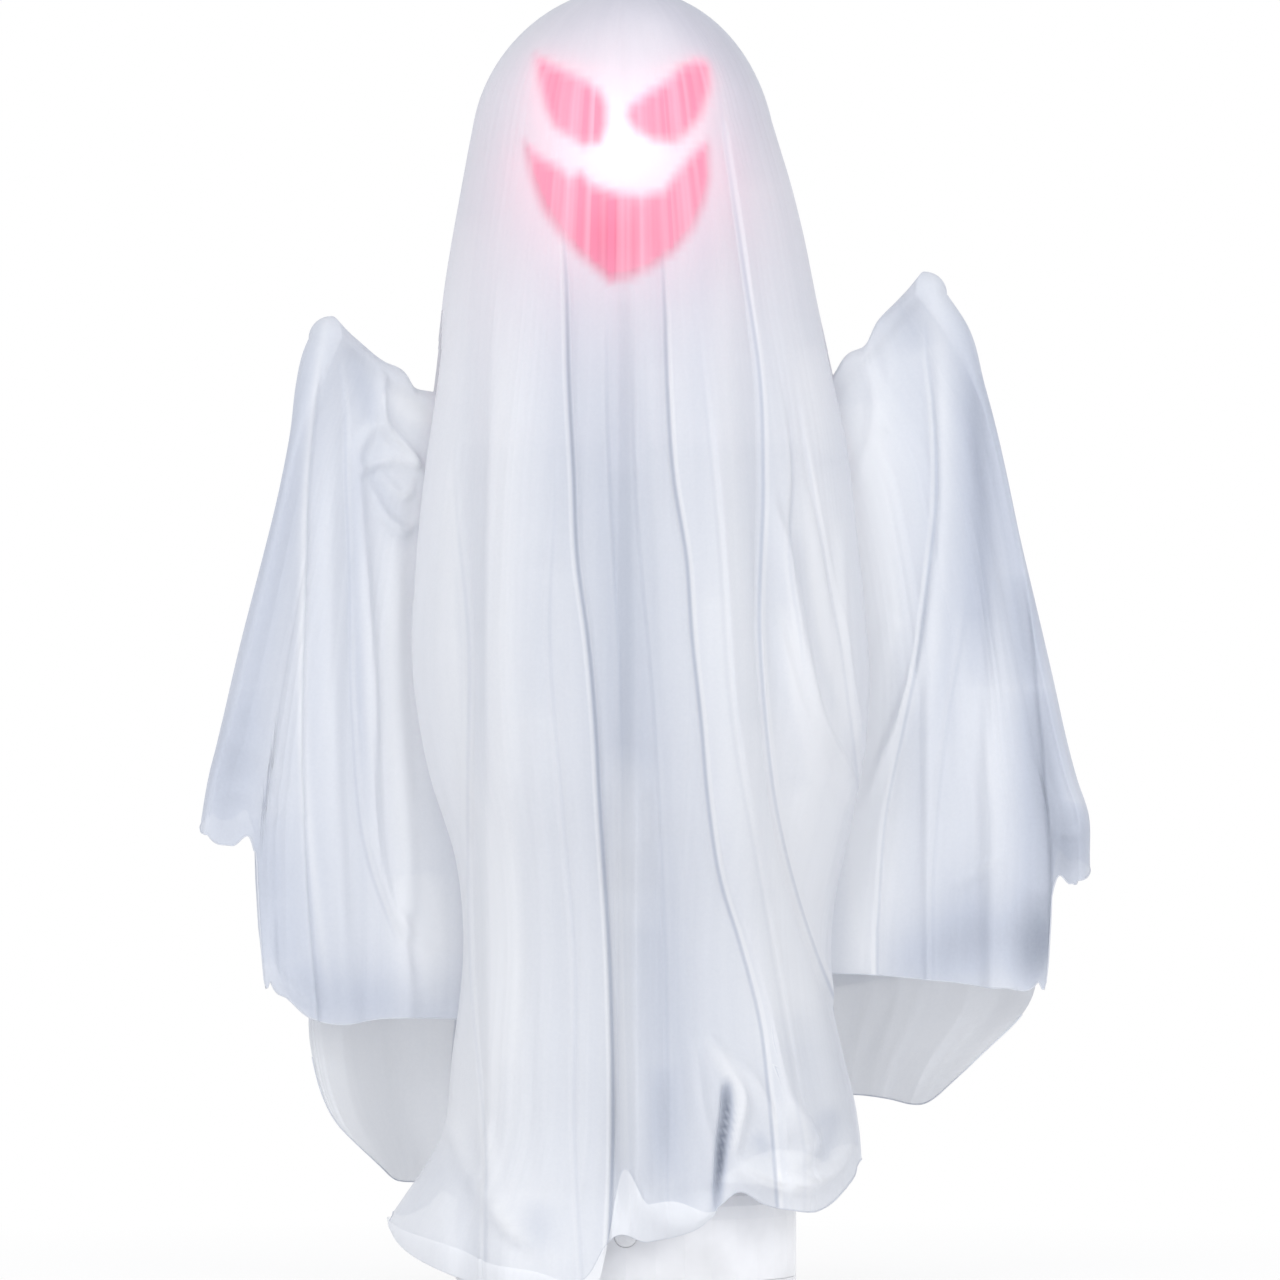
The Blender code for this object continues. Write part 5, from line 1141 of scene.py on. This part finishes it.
# %% Which working part has which finish
FINISHES = {
    "dark_moulded": plastic("dark_moulded_plastic", (0.030, 0.030, 0.034), 0.5),
    "grey_moulded": plastic("grey_moulded_plastic", (0.15, 0.15, 0.16), 0.45),
    "white_moulded": plastic("white_moulded_plastic", (0.78, 0.78, 0.79), 0.42),
    "natural_nylon": plastic("natural_nylon", (0.72, 0.70, 0.63), 0.38),
    "black_rubber": plastic("black_rubber", (0.018, 0.018, 0.018), 0.75, 500.0),
    "board": plastic("green_board", (0.025, 0.15, 0.055), 0.35),
    "cell_sleeve": plastic("blue_cell_sleeve", (0.05, 0.09, 0.24), 0.3),
    "milky_window": plastic("milky_window", (0.82, 0.82, 0.83), 0.25),
    "tube": metal("drawn_tube", (0.60, 0.61, 0.62), 0.34),
    "steel": metal("plain_steel", (0.55, 0.55, 0.56), 0.3, (20.0, 20.0, 20.0)),
    "brass": metal("turned_brass", (0.66, 0.48, 0.20), 0.28, (20.0, 20.0, 20.0)),
    "lens": glowing("pink_lens", (0.95, 0.20, 0.36), 1.2),
    "lamp": glowing("lamp_body", (1.0, 0.85, 0.88), 3.0),
}
FINISH_OF = {
    "dark_moulded": ("battery_box",),
    "grey_moulded": ("power_switch_knob", "test_button", "speaker", "gear_bracket", "gear_cover"),
    "white_moulded": ("base_floor_plate", "base_housing", "battery_door", "shoulder_bar",
                      "neck_post", "head_shell_front", "head_shell_back", "left_hand_knob",
                      "right_hand_knob"),
    "natural_nylon": ("glide_shoe", "lift_rack", "lift_pinion", "reduction_wheel"),
    "black_rubber": ("nonslip_pad",),
    "board": ("circuit_board", "lamp_board"),
    "cell_sleeve": ("battery_1", "battery_2", "battery_3"),
    "milky_window": ("sensor_window",),
    "tube": ("outer_mast_tube", "inner_mast_tube"),
    "brass": ("motor_pinion",),
    "lens": ("left_eye_lens", "right_eye_lens", "mouth_lens"),
    "lamp": ("lamp_1", "lamp_2", "lamp_3"),
}
PLAIN = {node: finish for finish, nodes in FINISH_OF.items() for node in nodes}
for node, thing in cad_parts.items():
    thing.data.materials.clear()
    thing.data.materials.append(FINISHES[PLAIN.get(node, "steel")])
print(len(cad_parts), "working parts finished,", len(FINISHES), "finishes")

# %% [markdown]
# ## Floor, light and camera
# A white studio: a pale floor that keeps a soft shadow, even light from the sky, and one large
# lamp to each side of the camera so that the pleats read. The camera is level and straight on.

# %% Stage
FRAME_HIGH = 0.9024
FRAME_CENTRE = (0.0099, 0.4538)
DISTANCE = 8.0
SKY_TINT, SKY_LIGHT = (0.95, 0.965, 1.0, 1), 0.87


def build_floor():
    """White in the distance, and just dull enough near the base to keep its soft shadow."""
    mesh = bpy.data.meshes.new("studio_floor")
    reach = 30.0
    mesh.from_pydata([(-reach, -reach, 0), (reach, -reach, 0), (reach, reach, 0),
                      (-reach, reach, 0)], [], [(0, 1, 2, 3)])
    floor = add_object("studio_floor", mesh)
    tree = Tree("pale_floor")
    rays = tree.add("LightPath")
    seen = tree.math("MAXIMUM", rays.outputs["Is Camera Ray"], rays.outputs["Is Glossy Ray"])
    seen = tree.math("MAXIMUM", seen, rays.outputs["Is Transmission Ray"])
    far = tree.add("VectorMath", {0: tree.coords("Object")}, operation="LENGTH").outputs["Value"]
    white = tree.math("MULTIPLY", seen, tree.band(far, 0.25, 0.9, 0.86, 1.0))
    paint = tree.add("BsdfDiffuse", {"Color": (0.86, 0.86, 0.87, 1)})
    bright = tree.add("Emission", {"Color": (1, 1, 1, 1), "Strength": 1.0})
    both = tree.add("MixShader", {0: white, 1: paint.outputs[0], 2: bright.outputs[0]})
    mesh.materials.append(tree.finish(both))


def build_world():
    """Tinted light on the figure, and plain white wherever the camera sees the sky."""
    tree = Tree("studio", bpy.data.worlds.new("studio"), "OutputWorld")
    rays = tree.add("LightPath")
    seen = tree.math("MAXIMUM", rays.outputs["Is Camera Ray"], rays.outputs["Is Glossy Ray"])
    sky = tree.add("Background", {"Color": SKY_TINT, "Strength": SKY_LIGHT})
    white = tree.add("Background", {"Color": (1, 1, 1, 1)})
    scene.world = tree.finish(tree.add("MixShader", {0: seen, 1: sky.outputs[0],
                                                     2: white.outputs[0]}))


def add_lamp(name, place, size, power, aim=(0, 0, 0.45)):
    lamp = bpy.data.lights.new(name, "AREA")
    lamp.size = size
    lamp.energy = power
    made = add_object(name, lamp)
    made.location = place
    made.rotation_euler = (Vector(aim) - Vector(place)).to_track_quat("-Z", "Y").to_euler()


def build_camera():
    """Level and far away, with a long lens, so that hardly any perspective shows."""
    lens = bpy.data.cameras.new("camera")
    lens.sensor_width = 36.0
    lens.lens = lens.sensor_width * DISTANCE / FRAME_HIGH
    lens.clip_end = 100.0
    camera = add_object("camera", lens)
    camera.location = (FRAME_CENTRE[0], -DISTANCE, FRAME_CENTRE[1])
    camera.rotation_euler = (radians(90), 0, 0)
    scene.camera = camera


build_floor()
build_world()
add_lamp("left_lamp", (-2.1, -3.2, 1.9), 1.6, 42)
add_lamp("right_lamp", (2.1, -3.2, 1.5), 1.6, 38)
build_camera()
scene.view_settings.view_transform = "Standard"
